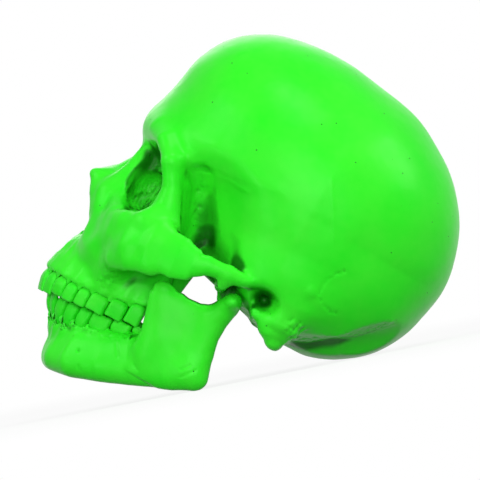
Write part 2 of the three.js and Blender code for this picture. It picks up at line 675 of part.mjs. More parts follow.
// Only the positions of a geometry, with the vertices that lie together shared.
function cleaned(geometry) {
  const flat = geometry.index ? geometry.toNonIndexed() : geometry;
  const bare = new THREE.BufferGeometry().setAttribute('position', flat.getAttribute('position'));
  return mergeVertices(bare, 1e-4);
}

function solidOf(geometry) {
  const merged = cleaned(geometry);
  return new wasm.Manifold(new wasm.Mesh({
    numProp: 3,
    vertProperties: merged.getAttribute('position').array,
    triVerts: new Uint32Array(merged.index.array),
  }));
}

function geometryOf(solid) {
  const mesh = solid.getMesh();
  const geometry = new THREE.BufferGeometry();
  geometry.setAttribute('position', new THREE.Float32BufferAttribute(mesh.vertProperties, 3));
  geometry.setIndex(new THREE.Uint32BufferAttribute(mesh.triVerts, 1));
  geometry.computeVertexNormals();
  return geometry;
}

// Only the largest body of a solid: a thin wall between two hollows can leave a loose crumb.
const wholeBody = (solid) => solid.decompose().sort((p, q) => q.volume() - p.volume())[0];

// A closed loft through rings of the same number of points, capped at both ends.
function loft(rings) {
  const sides = rings[0].length;
  const positions = rings.flat().flatMap((p) => [p.x, p.y, p.z]);
  const index = [];
  for (let r = 0; r + 1 < rings.length; r++) {
    for (let s = 0; s < sides; s++) {
      const a = r * sides + s;
      const b = r * sides + (s + 1) % sides;
      index.push(a, b, a + sides, b, b + sides, a + sides);
    }
  }
  for (const [ring, start] of [[rings[0], 0], [rings.at(-1), (rings.length - 1) * sides]]) {
    const centre = ring.reduce((sum, p) => sum.add(p), new THREE.Vector3()).divideScalar(sides);
    const tip = positions.length / 3;
    positions.push(centre.x, centre.y, centre.z);
    for (let s = 0; s < sides; s++) {
      const a = start + s;
      const b = start + (s + 1) % sides;
      if (start === 0) index.push(b, a, tip);
      else index.push(a, b, tip);
    }
  }
  const geometry = new THREE.BufferGeometry();
  geometry.setAttribute('position', new THREE.Float32BufferAttribute(positions, 3));
  geometry.setIndex(index);
  return geometry;
}

// One ring of a tooth: a rounded oblong across the tooth's axis, which leans outward.
const toothSides = 8;
function toothRing(tooth, height, halfWidth, halfDepth, square, slant = 0) {
  const ring = [];
  const fan = 1 + tooth.lean * tooth.bend * height;
  for (let s = 0; s < toothSides; s++) {
    const angle = 2 * Math.PI * (s + 0.5) / toothSides;
    const c = Math.cos(angle);
    const d = Math.sin(angle);
    const u = Math.sign(c) * Math.abs(c) ** (2 / square) * halfWidth * fan;
    const v = Math.sign(d) * Math.abs(d) ** (2 / square) * halfDepth;
    ring.push(
      tooth.neck.clone()
        .addScaledVector(tooth.along, u)
        .addScaledVector(tooth.out, v + tooth.lean * height)
        .addScaledVector(tooth.up, height + slant * v),
    );
  }
  return ring;
}

// Heights along a tooth count from the gum: the root is below, the biting edge is at the top.
// A socket is the same loft grown by the gap that it keeps, and open at the top.
function toothRings(tooth, grow) {
  const { cusps, halfWidth, halfDepth, crown, root } = tooth;
  const square = cusps > 1 ? 4 : 3;
  const shoulder = cusps > 1 ? 0.96 : 0.72;
  const rings = [
    toothRing(tooth, -root - grow, halfWidth * 0.42 + grow, halfDepth * 0.44 + grow, 2.2),
    toothRing(tooth, -root * 0.5, halfWidth * 0.66 + grow, halfDepth * 0.66 + grow, 2.2),
    toothRing(tooth, 0, halfWidth * 0.82 + grow, halfDepth * 0.82 + grow, 2.4),
    toothRing(tooth, crown * 0.3, halfWidth * 0.95 + grow, halfDepth + grow, square),
    toothRing(tooth, crown * 0.66, halfWidth + grow, halfDepth * shoulder + grow, square),
  ];
  if (grow > 0) return rings;
  const edgeWidth = cusps === 0 ? 0.97 : cusps === 1 ? 0.55 : 0.8;
  const edgeDepth = cusps === 0 ? 0.22 : cusps === 1 ? 0.34 : 0.66;
  const edge = crown - (cusps > 0 ? 1 : 0.25);
  rings.push(toothRing(
    tooth, edge, halfWidth * edgeWidth, halfDepth * edgeDepth, square, tooth.slant,
  ));
  return rings;
}

// The top of a crown is an edge, a point, or a hollow between cusps.
function makeTooth(tooth) {
  const geometry = loft(toothRings(tooth, 0));
  const position = geometry.getAttribute('position');
  const height = tooth.crown - (tooth.cusps > 1 ? 1.6 : 0);
  const top = tooth.neck.clone()
    .addScaledVector(tooth.up, height)
    .addScaledVector(tooth.out, tooth.lean * height);
  position.setXYZ(position.count - 1, top.x, top.y, top.z);
  return geometry;
}

// The teeth of one half row, set one beside the other along their arch from the middle.
function placeRow(arch, upper) {
  const placed = [];
  const steps = 4000;
  let angle = 0;
  let travelled = 0;
  let wanted = 0;
  const walkTo = (distance) => {
    while (travelled < distance && angle < 2.2) {
      const [x1, y1] = archPoint(arch, angle);
      angle += Math.PI / steps;
      const [x2, y2] = archPoint(arch, angle);
      travelled += Math.hypot(x2 - x1, y2 - y1);
    }
  };
  for (const [name, kind] of Object.entries(toothKinds)) {
    const width = kind.width * (upper ? 1 : lowerWidthShare[name]);
    walkTo(wanted + (width + fitGap) / 2);
    const [x, y] = archPoint(arch, angle);
    const along = new THREE.Vector3(
      arch.halfWidth * Math.cos(angle), arch.depth * Math.sin(angle), 0,
    );
    const bend = arch.halfWidth * arch.depth / along.length() ** 3;
    along.normalize();
    const out = new THREE.Vector3(along.y, -along.x, 0);
    const lean = upper ? kind.upperLean : kind.lowerLean;
    const gum = (upper ? upperGum : lowerGum)(y);
    const edgeY = y + out.y * lean * Math.abs(biteHeight(y) - gum);
    const overbite = kind.cusps === 0 ? frontOverbite : -fitGap;
    const bite = biteHeight(edgeY) - (upper ? 0.5 : -0.5) * overbite;
    placed.push({
      name,
      neck: new THREE.Vector3(x, y, gum),
      along,
      out,
      up: new THREE.Vector3(0, 0, upper ? -1 : 1),
      lean,
      bend,
      slant: kind.cusps > 1 ? (upper ? biteSlant : -biteSlant) : 0,
      cusps: kind.cusps,
      halfWidth: width / 2,
      halfDepth: kind.depth * (upper ? 0.5 : 0.46),
      crown: Math.abs(bite - gum),
      root: kind.root,
    });
    wanted += width + fitGap;
  }
  return placed;
}

function turnedRound(geometry) {
  const copy = geometry.clone();
  const index = copy.index.array;
  for (let i = 0; i < index.length; i += 3) {
    [index[i + 1], index[i + 2]] = [index[i + 2], index[i + 1]];
  }
  return copy;
}
const mirrored = (geometry) => turnedRound(geometry.clone().scale(-1, 1, 1));
const facingOut = (geometry) => (solidOf(geometry).volume() > 0 ? geometry : turnedRound(geometry));

const resin = (color, roughness) => new THREE.MeshStandardMaterial({ color, roughness, metalness: 0 });
const boneResin = resin('#2fd83a', 0.48);
const toothResin = resin('#3fe048', 0.4);
const pinSteel = new THREE.MeshStandardMaterial({ color: '#b9bcc0', roughness: 0.3, metalness: 1 });

const pieces = new Map();
const teeth = [];
const sockets = { upper: [], lower: [] };
for (const [row, arch] of [['upper', upperArch], ['lower', lowerArch]]) {
  for (const tooth of placeRow(arch, row === 'upper')) {
    const crown = facingOut(makeTooth(tooth));
    const socket = facingOut(loft(toothRings(tooth, fitGap)));
    const name = tooth.name.replace(/[A-Z]/g, (letter) => `_${letter.toLowerCase()}`);
    teeth.push([`${row}_left_${name}`, crown], [`${row}_right_${name}`, mirrored(crown)]);
    sockets[row].push(socket, mirrored(socket));
  }
}

// The pins on which the jaw turns: half in the condyle, half in the wall of the joint's hollow.
function pin(radius, inner, outer) {
  const profile = [
    new THREE.Vector2(0, inner), new THREE.Vector2(radius, inner),
    new THREE.Vector2(radius, outer), new THREE.Vector2(0, outer),
  ];
  const turned = new THREE.LatheGeometry(profile, 20).rotateZ(-Math.PI / 2);
  return facingOut(cleaned(turned.translate(0, hingeY, hingeZ)));
}
const pinLeft = pin(pinRadius, pinInner, pinOuter);
const boreLeft = pin(pinRadius + pinFit, pinInner - fitGap, pinOuter + fitGap);

let craniumSolid = solidOf(simplify(polygonise(cranium), craniumTriangles));
let mandibleSolid = solidOf(simplify(polygonise(mandible), mandibleTriangles));
for (const socket of sockets.upper) craniumSolid = craniumSolid.subtract(solidOf(socket));
for (const socket of sockets.lower) mandibleSolid = mandibleSolid.subtract(solidOf(socket));
for (const bore of [boreLeft, mirrored(boreLeft)]) {
  craniumSolid = craniumSolid.subtract(solidOf(bore));
  mandibleSolid = mandibleSolid.subtract(solidOf(bore));
}
pieces.set('cranium', [geometryOf(wholeBody(craniumSolid)), boneResin]);
pieces.set('mandible', [geometryOf(wholeBody(mandibleSolid)), boneResin]);
for (const [name, geometry] of teeth) pieces.set(name, [geometry, toothResin]);
pieces.set('pivot_pin_left', [pinLeft, pinSteel]);
pieces.set('pivot_pin_right', [mirrored(pinLeft), pinSteel]);

// How the model lies: tipped back until the jaw and the back of the head touch one plane.
function lowest(geometry, tip) {
  const position = geometry.getAttribute('position');
  let least = Infinity;
  for (let i = 0; i < position.count; i++) {
    least = Math.min(least, position.getZ(i) * Math.cos(tip) - position.getY(i) * Math.sin(tip));
  }
  return least;
}
let tipLow = 0;
let tipHigh = Math.PI / 3;
for (let i = 0; i < 40; i++) {
  const tip = (tipLow + tipHigh) / 2;
  if (lowest(pieces.get('cranium')[0], tip) < lowest(pieces.get('mandible')[0], tip)) tipHigh = tip;
  else tipLow = tip;
}
const restTip = (tipLow + tipHigh) / 2;

const skull = new THREE.Group();
skull.rotation.x = -restTip;
for (const [name, [geometry, material]] of pieces) {
  const mesh = new THREE.Mesh(geometry, material);
  mesh.name = name;
  skull.add(mesh);
}
skull.updateMatrixWorld(true);
const bounds = new THREE.Box3().setFromObject(skull, true);
const middle = bounds.getCenter(new THREE.Vector3());
skull.position.set(-middle.x, -middle.y, -bounds.min.z);

const group = new THREE.Group();
group.add(skull);

export default group;
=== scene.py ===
import math

import bpy
import numpy as np
from mathutils import Matrix, Vector


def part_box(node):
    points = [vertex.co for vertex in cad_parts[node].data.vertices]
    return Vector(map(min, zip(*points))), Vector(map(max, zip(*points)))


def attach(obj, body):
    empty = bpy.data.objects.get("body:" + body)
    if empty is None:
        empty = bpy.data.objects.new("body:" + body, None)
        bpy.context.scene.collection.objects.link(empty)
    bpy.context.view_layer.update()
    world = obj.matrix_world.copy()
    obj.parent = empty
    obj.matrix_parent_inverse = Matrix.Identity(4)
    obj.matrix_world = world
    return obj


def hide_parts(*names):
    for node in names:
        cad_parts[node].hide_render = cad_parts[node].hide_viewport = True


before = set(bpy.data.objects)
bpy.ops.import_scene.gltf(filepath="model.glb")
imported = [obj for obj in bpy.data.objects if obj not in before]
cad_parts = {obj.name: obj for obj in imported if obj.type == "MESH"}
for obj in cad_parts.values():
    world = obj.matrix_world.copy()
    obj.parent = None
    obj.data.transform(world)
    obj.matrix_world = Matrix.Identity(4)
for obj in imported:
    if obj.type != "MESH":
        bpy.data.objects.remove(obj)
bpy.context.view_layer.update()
print("frame loaded:", len(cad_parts), "nodes")

# The skull is shaped in its own frame, in millimetres: x to its left, y to its back, z up, from the
# midpoint between the ear openings. It then lies back on the table as the CAD model does.
lying = {
    "layBack": 41.2171,  # degrees from upright to how it rests on the jaw and the back of the head
    "hinge": (0.0, -12.5, -14.0),  # where the jaw's pins are in the skull's own frame
}
pinLow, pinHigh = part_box("pivot_pin_left")
hingeOnTable = (pinLow + pinHigh) * 500.0
turn = Matrix.Rotation(-math.radians(lying["layBack"]), 3, "X")
hingeOnTable.x = 0.0
shift = hingeOnTable - turn @ Vector(lying["hinge"])
toTable = Matrix.Translation(shift * 0.001) @ turn.to_4x4() @ Matrix.Scale(0.001, 4)


# Shapes are signed fields: about the distance in mm to the shape, negative inside. Each is kept with
# the box that it reaches, so that it's only worked out there.
def egg(cx, cy, cz, rx, ry, rz):
    least = min(rx, ry, rz)

    def field(x, y, z):
        px, py, pz = (x - cx) / rx, (y - cy) / ry, (z - cz) / rz
        n = np.sqrt(px * px + py * py + pz * pz)
        g = np.sqrt((px / rx) ** 2 + (py / ry) ** 2 + (pz / rz) ** 2)
        return np.where(n < 0.2, -least, n * (n - 1) / np.maximum(g, 1e-6))

    centre, radii = np.array((cx, cy, cz)), np.array((rx, ry, rz))
    return {"low": centre - radii, "high": centre + radii, "field": field}


# A limb runs through points [x, y, z, half size in x, half size in y, half size in z].
def limb(*points):
    p = np.array(points, float)

    def field(x, y, z):
        best = None
        for a, b in zip(p[:-1], p[1:]):
            d = b[:3] - a[:3]
            t = ((x - a[0]) * d[0] + (y - a[1]) * d[1] + (z - a[2]) * d[2]) / (d @ d)
            t = np.clip(t, 0, 1)
            rx, ry, rz = (a[i] + t * (b[i] - a[i]) for i in (3, 4, 5))
            px = (x - a[0] - t * d[0]) / rx
            py = (y - a[1] - t * d[1]) / ry
            pz = (z - a[2] - t * d[2]) / rz
            dist = (np.sqrt(px * px + py * py + pz * pz) - 1) * np.minimum(np.minimum(rx, ry), rz)
            best = dist if best is None else np.minimum(best, dist)
        return best

    return {"low": (p[:, :3] - p[:, 3:]).min(0), "high": (p[:, :3] + p[:, 3:]).max(0), "field": field}


def smoothMin(a, b, k):
    h = np.maximum(k - np.abs(a - b), 0) / k
    return np.minimum(a, b) - h * h * k / 4


# A block of sample points over the left half; the right half mirrors it.
def makeBlock(low, high, step):
    count = np.ceil((np.array(high) - np.array(low)) / step).astype(int) + 1
    axes = [low[i] + step * np.arange(count[i]) for i in range(3)]
    return {"axes": axes, "step": step, "f": np.full(count, 60.0, np.float32)}


def windowOf(block, shape, spare):
    ends = zip(block["axes"], shape["low"] - spare, shape["high"] + spare)
    return tuple(slice(*np.searchsorted(axis, (low, high))) for axis, low, high in ends)


def sampled(block, shape, window):
    x, y, z = (axis[w].astype(np.float32) for axis, w in zip(block["axes"], window))
    return shape["field"](x[:, None, None], y[None, :, None], z[None, None, :])


def add(block, shape, k, sign=1):
    window = windowOf(block, shape, k + 6)
    block["f"][window] = sign * smoothMin(sign * block["f"][window], sampled(block, shape, window), k)


def carve(block, shape, k):
    add(block, shape, k, -1)


# Surface nets: one vertex in each lattice cell that the surface crosses, then a few rounds that even
# the vertices out and put them back on the surface.
netCorners = np.array([(i & 1, i >> 1 & 1, i >> 2 & 1) for i in range(8)])
netEdges = [(a, b) for a in range(8) for b in range(a + 1, 8) if bin(a ^ b).count("1") == 1]


def sampleField(f, at):
    base = np.clip(np.floor(at).astype(int), 0, np.array(f.shape) - 2)
    u = at - base
    value, slope = np.zeros(len(at)), np.zeros((len(at), 3))
    for c in netCorners:
        v = f[tuple((base + c).T)].astype(float)
        w = np.where(c, u, 1 - u)
        value += v * w.prod(1)
        slope += v[:, None] * (2 * c - 1) * w[:, [1, 0, 0]] * w[:, [2, 2, 1]]
    return value, slope


def netOf(block, rounds=3):
    half = block["f"]
    f = np.concatenate([half[:0:-1], half])
    cells = tuple(n - 1 for n in f.shape)
    inside = f < 0
    count = np.zeros(cells, np.int8)
    for a, b, c in netCorners:
        count += inside[a:a + cells[0], b:b + cells[1], c:c + cells[2]]
    crossed = np.argwhere((count > 0) & (count < 8))
    ids = np.full(cells, -1, np.int32)
    ids[tuple(crossed.T)] = np.arange(len(crossed))
    corner = np.stack([f[tuple((crossed + c).T)] for c in netCorners], 1).astype(float)
    total, hits = np.zeros((len(crossed), 3)), np.zeros(len(crossed))
    for a, b in netEdges:
        change = (corner[:, a] < 0) != (corner[:, b] < 0)
        t = corner[:, a] / np.where(change, corner[:, a] - corner[:, b], 1)
        total += np.where(change[:, None], netCorners[a] + t[:, None] * (netCorners[b] - netCorners[a]), 0)
        hits += change
    at = crossed + total / hits[:, None]
    quads = []
    for axis in range(3):
        u, v = np.roll(np.eye(3, dtype=int), -axis, axis=0)[1:]
        start, stop = [slice(1, -1)] * 3, [slice(1, -1)] * 3
        start[axis], stop[axis] = slice(0, -1), slice(1, None)
        first, second = inside[tuple(start)], inside[tuple(stop)]
        for way, mask in ((1, first & ~second), (-1, second & ~first)):
            crossing = np.argwhere(mask)
            ring = [crossing + step for step in (0 * u, u, u + v, v)[::way]]
            quads.append(np.stack([ids[tuple(cell.T)] for cell in ring], 1))
    quads = np.concatenate(quads)
    ends = np.concatenate([quads[:, [i, (i + 1) % 4]] for i in range(4)])
    degree = np.bincount(ends[:, 0], minlength=len(at)).astype(float)
    for _ in range(rounds):
        mean = np.stack([np.bincount(ends[:, 0], at[ends[:, 1], i], len(at)) for i in range(3)], 1)
        at = at + 0.5 * (mean / degree[:, None] - at)
        value, slope = sampleField(f, at)
        at = at - slope * (value / np.maximum((slope ** 2).sum(1), 1e-6))[:, None]
    value, slope = sampleField(f, at)
    normals = slope / np.maximum(np.linalg.norm(slope, axis=1), 1e-9)[:, None]
    low = np.array([-block["axes"][0][-1], block["axes"][1][0], block["axes"][2][0]])
    return at * block["step"] + low, quads, normals


def meshFrom(name, points, faces):
    mesh = bpy.data.meshes.new(name)
    mesh.vertices.add(len(points))
    mesh.vertices.foreach_set("co", np.asarray(points, np.float32).ravel())
    mesh.loops.add(faces.size)
    mesh.loops.foreach_set("vertex_index", faces.astype(np.int32).ravel())
    mesh.polygons.add(len(faces))
    mesh.polygons.foreach_set("loop_start", np.arange(0, faces.size, faces.shape[1], dtype=np.int32))
    mesh.update(calc_edges=True)
    mesh.shade_smooth()
    return mesh


def placeObject(name, data):
    made = bpy.data.objects.new(name, data)
    bpy.context.scene.collection.objects.link(made)
    return made


# Modifiers end in a plain mesh on the same object.
def bakeModifiers(piece):
    evaluated = piece.evaluated_get(bpy.context.evaluated_depsgraph_get())
    mesh = bpy.data.meshes.new_from_object(evaluated)
    piece.modifiers.clear()
    old, piece.data = piece.data, mesh
    bpy.data.meshes.remove(old)
    mesh.name = piece.name
    return piece


# The brain case: its outline in the middle plane, [y, z] from the brow over the crown to the back
# of the head and forward under the brain.
vaultShape = {
    "halfBreadth": 70.5,
    "frontNarrower": 0.055,  # share of the breadth
    "crownNarrower": 0.02,  # mm for each mm above crownFrom
    "crownFrom": 75,
    "power": 2.15,  # how square its section is
    "squarer": 0.6,  # how much more so low at the back
    "centre": (-10.0, 50.0),
    "outline": [
        (-100.5, 51.2), (-96.8, 70.8), (-93, 91), (-83, 108), (-68, 119.3), (-47, 125.8),
        (-24, 127.4), (0, 125), (24, 120.4), (43, 111), (60, 98), (73, 80.5),
        (80, 62), (81.9, 47), (80, 32), (76, 16.5), (66, -0.4), (54, -11),
        (40, -18), (24, -21.5), (2, -18), (-18, -11), (-34, 0), (-50, 12),
        (-66, 24), (-82, 32), (-94, 38),
    ],
}


def roundSpline(outline, parts=24):
    p = np.array(outline, float)
    found = []
    for i in range(len(p)):
        a, b, c, d = (p[(i + j) % len(p)] for j in (-1, 0, 1, 2))
        t0, t1, t2 = (max(np.linalg.norm(v) ** 0.5, 1e-4) for v in (b - a, c - b, d - c))
        m1 = ((b - a) / t0 - (c - a) / (t0 + t1) + (c - b) / t1) * t1
        m2 = ((c - b) / t1 - (d - b) / (t1 + t2) + (d - c) / t2) * t1
        t = np.arange(parts)[:, None] / parts
        found.append(
            b + m1 * t + (3 * (c - b) - 2 * m1 - m2) * t ** 2 + (2 * (b - c) + m1 + m2) * t ** 3
        )
    return np.concatenate(found)


def makeVault(shape):
    cy, cz = shape["centre"]
    line = roundSpline(shape["outline"]) - (cy, cz)
    angle = np.arctan2(line[:, 1], line[:, 0])
    order = np.argsort(angle)
    angle, radius = angle[order], np.hypot(line[:, 0], line[:, 1])[order]

    def field(x, y, z):
        py, pz = y - cy, z - cz
        r = np.interp(np.arctan2(pz, py), angle, radius, period=2 * math.pi).astype(np.float32)
        low = np.clip((45 - z) / 50, 0, 1)
        back = np.clip((y + 60) / 60, 0, 1)
        power = shape["power"] + shape["squarer"] * low * back
        breadth = shape["halfBreadth"] * (1 - shape["frontNarrower"] * (1 - back))
        breadth = breadth - shape["crownNarrower"] * np.maximum(z - shape["crownFrom"], 0)
        n = ((np.abs(x) / breadth) ** power + (np.sqrt(py * py + pz * pz) / r) ** power) ** (1 / power)
        reach = np.sqrt(x * x + py * py + pz * pz)
        return np.where(n < 0.05, -60, reach * (1 - 1 / np.maximum(n, 0.01)))

    return {"field": field}


# The two rows of teeth follow half an ellipse each, open at the back.
arches = {
    "upper": {"halfWidth": 28, "depth": 51.6, "backY": -53.5},
    "lower": {"halfWidth": 26.2, "depth": 49, "backY": -44},
}
rowFit = {"gap": 0.4, "overbite": 1.6}


def archPoint(arch, angle):
    return arch["halfWidth"] * math.sin(angle), arch["backY"] - arch["depth"] * math.cos(angle)


# The heights of the bite and of the gums at a place along the head.
def biteHeight(y):
    s = y + 101.5
    return -58.6 + 0.12 * s + 0.00105 * s * s


def upperGum(y):
    return -48.4 + 0.0048 * (y + 95) ** 2


def lowerGum(y):
    return -68 + 0.0052 * max(0.0, y + 98) ** 2


def alveolarRidge(row, gum, lift, halfHeight, thickness, inset):
    arch = arches[row]
    points = []
    for angle in (0, 0.28, 0.56, 0.84, 1.12, 1.4, 1.62):
        x, y = archPoint(arch, angle)
        out = Vector((x / arch["halfWidth"] ** 2, (y - arch["backY"]) / arch["depth"] ** 2)).normalized()
        front = math.cos(min(angle, math.pi / 2)) ** 2
        half = thickness[1] + (thickness[0] - thickness[1]) * front
        inward = inset[1] + (inset[0] - inset[1]) * front
        points.append((x - inward * out.x, y - inward * out.y, gum(y) + lift, half, half, halfHeight))
    return points


# The teeth of one side: width along the row, depth across it and root length, how far each row's tooth
# leans outward per mm of height, and the lower tooth's width as a share of the upper one's.
toothSizes = ("width", "depth", "root", "upper", "lower", "share")
toothKinds = {
    "central_incisor": (8.2, 6.6, 6, 0.03, 0.74, 0.52),
    "lateral_incisor": (6.5, 6.0, 6, 0.03, 0.64, 0.66),
    "canine": (7.6, 7.6, 7, 0.04, 0.38, 0.82),
    "first_premolar": (7.0, 8.6, 6, 0.03, 0.14, 1),
    "second_premolar": (6.8, 8.8, 6, 0.02, 0.06, 1.04),
    "first_molar": (10.2, 10.6, 5.5, 0.02, 0, 1.07),
    "second_molar": (9.6, 10.4, 5.5, 0.02, 0, 1.06),
    "third_molar": (8.6, 9.6, 5, 0.02, 0, 1.08),
}
# How far a crown is a molar's, how pointed it is, the height of its cusps, how far they are four and
# not two, and how square its section is.
crownSizes = ("Molar", "Point", "Cusps", "Cross", "Square")
crownKinds = {
    "incisor": (0.0, 0.0, 0.0, 0.0, 3.6),
    "canine": (0.35, 0.6, 0.0, 0.0, 3.6),
    "premolar": (0.85, 0.2, 1.0, 0.25, 4.4),
    "molar": (1.0, 0.0, 1.0, 1.0, 5.2),
}


def placeRow(row):
    arch, upper = arches[row], row == "upper"
    placed, wanted = [], 0.0
    angles = np.linspace(0, 2.2, 4000)
    line = np.array([archPoint(arch, a) for a in angles])
    length = np.concatenate([[0], np.cumsum(np.linalg.norm(np.diff(line, axis=0), axis=1))])
    for name, sizes in toothKinds.items():
        kind = dict(zip(toothSizes, sizes))
        crownKind = name.split("_")[-1]
        width = kind["width"] * (1 if upper else kind["share"])
        angle = float(np.interp(wanted + (width + rowFit["gap"]) / 2, length, angles))
        x, y = archPoint(arch, angle)
        along = Vector((arch["halfWidth"] * math.cos(angle), arch["depth"] * math.sin(angle), 0))
        bend = arch["halfWidth"] * arch["depth"] / along.length ** 3
        along.normalize()
        out = Vector((along.y, -along.x, 0))
        lean = kind[row]
        gum = (upperGum if upper else lowerGum)(y)
        edgeY = y + out.y * lean * abs(biteHeight(y) - gum)
        overbite = rowFit["overbite"] if crownKind == "incisor" else -rowFit["gap"]
        bite = biteHeight(edgeY) - (0.5 if upper else -0.5) * overbite
        placed.append({
            "name": name, "kind": crownKind, "neck": Vector((x, y, gum)), "along": along, "out": out,
            "up": Vector((0, 0, -1 if upper else 1)), "lean": lean, "bend": bend,
            "halfWidth": width / 2, "halfDepth": kind["depth"] * (0.5 if upper else 0.46),
            "crown": abs(bite - gum), "root": kind["root"],
        })
        wanted += width + rowFit["gap"]
    return placed


# The hollow that a tooth sits in: its own root and neck, grown by the gap.
def socketShape(tooth):
    neck, along, out, up = (np.array(tooth[k]) for k in ("neck", "along", "out", "up"))
    root, gap = tooth["root"], rowFit["gap"]
    heights = [-root, -root * 0.5, 0, tooth["crown"] * 0.3, tooth["crown"]]
    widths = [tooth["halfWidth"] * share + gap for share in (0.42, 0.66, 0.84, 0.95, 1)]
    depths = [tooth["halfDepth"] * share + gap for share in (0.44, 0.66, 0.84, 1, 1)]

    def field(x, y, z):
        dx, dy, dz = x - neck[0], y - neck[1], z - neck[2]
        h = up[2] * dz
        u = along[0] * dx + along[1] * dy
        v = out[0] * dx + out[1] * dy - tooth["lean"] * h
        w = np.interp(h, heights, widths) * (1 + tooth["lean"] * tooth["bend"] * h)
        d = np.interp(h, heights, depths)
        n = ((np.abs(u) / w) ** 2.4 + (np.abs(v) / d) ** 2.4) ** (1 / 2.4)
        return np.maximum((n - 1) * np.minimum(w, d), -(h + root + gap)).astype(np.float32)

    reach = tooth["halfDepth"] + tooth["lean"] * tooth["crown"] + 1
    low = neck + np.array((-reach, -reach, -tooth["crown"] if up[2] < 0 else -root - gap))
    high = neck + np.array((reach, reach, root + gap if up[2] < 0 else tooth["crown"]))
    return {"low": low, "high": high, "field": field}


rows = {row: placeRow(row) for row in arches}


# The bone between the necks of neighbouring teeth, and the swelling over each root.
boneAtTeeth = {
    "upper": {"rise": 1.0, "size": (1.5, 1.5, 1.9), "swell": 0.55, "swellLength": 13},
    "lower": {"rise": 1.2, "size": (1.6, 1.6, 2.0), "swell": 0.5, "swellLength": 9},
}


def addBoneAtTeeth(block, row):
    shape, teeth = boneAtTeeth[row], rows[row]
    for tooth, neighbour in zip(teeth, teeth[1:]):
        middle = (tooth["neck"] + neighbour["neck"]) / 2
        out = (tooth["out"] + neighbour["out"]).normalized()
        depth = min(tooth["halfDepth"], neighbour["halfDepth"])
        at = middle + out * depth * 0.62 + tooth["up"] * (shape["rise"] - 1)
        add(block, egg(*at, *shape["size"]), 1.2)
    for tooth in teeth:
        length = shape["swellLength"] * (1.3 if tooth["kind"] == "canine" else 1)
        side = tooth["halfWidth"] * 0.55
        axis = tooth["up"] + tooth["out"] * tooth["lean"]
        outward = tooth["halfDepth"] * 0.82 + shape["swell"] - side
        first = tooth["neck"] + tooth["out"] * outward - axis * 1.8
        last = first - axis * length - tooth["out"] * 1.4
        add(block, limb((*first, side, side, 2), (*last, side * 0.6, side * 0.6, 3)), 2.5)


# The hidden joint: the condyle turns in a hollow on a pin through each side.
joint = {
    "condyle": (50.5, -12.5, -14.0),
    "condyleRadii": (10.0, 5.0, 5.0),
    "clearance": 0.9,
    "boreRadius": 1.7, "boreFrom": 33.1, "boreTo": 47.9,
}


def boreShape():
    _, cy, cz = joint["condyle"]
    r = joint["boreRadius"]
    middle, half = (joint["boreFrom"] + joint["boreTo"]) / 2, (joint["boreTo"] - joint["boreFrom"]) / 2

    def field(x, y, z):
        ring = np.sqrt((y - cy) ** 2 + (z - cz) ** 2) - r
        return np.maximum(ring, np.abs(x - middle) - half)

    low = np.array((middle - half, cy - r, cz - r))
    return {"low": low, "high": np.array((middle + half, cy + r, cz + r)), "field": field}


# Soft unevenness: a sum of waves in fixed directions, about -1 to 1.
def waves(points, size, seed, count=9):
    random = np.random.default_rng(seed)
    total = np.zeros(len(points))
    for _ in range(count):
        way = random.normal(size=3)
        way *= 2 * math.pi / (size * random.uniform(0.7, 1.4) * np.linalg.norm(way))
        total += np.sin(points @ way + random.uniform(0, 2 * math.pi))
    return total / math.sqrt(count)


# How much a point lies in a round patch, 0 to 1, on either side of the head.
def patch(points, centre, radii):
    p = np.abs(points * (1, 0, 0)) + points * (0, 1, 1)
    d = np.linalg.norm((p - centre) / radii, axis=1)
    return np.clip(1.5 * (1 - d), 0, 1)


# A ridge, 1 high, along a line drawn on the side of the head in the y and z of its points.
def ridge(points, line, width):
    yz, line = points[:, 1:], np.array(line, float)
    best = np.full(len(points), 1e9)
    for a, b in zip(line, line[1:]):
        d = b - a
        t = np.clip(((yz - a) @ d) / (d @ d), 0, 1)
        best = np.minimum(best, np.linalg.norm(yz - a - t[:, None] * d, axis=1))
    return np.exp(-(best / width) ** 2)


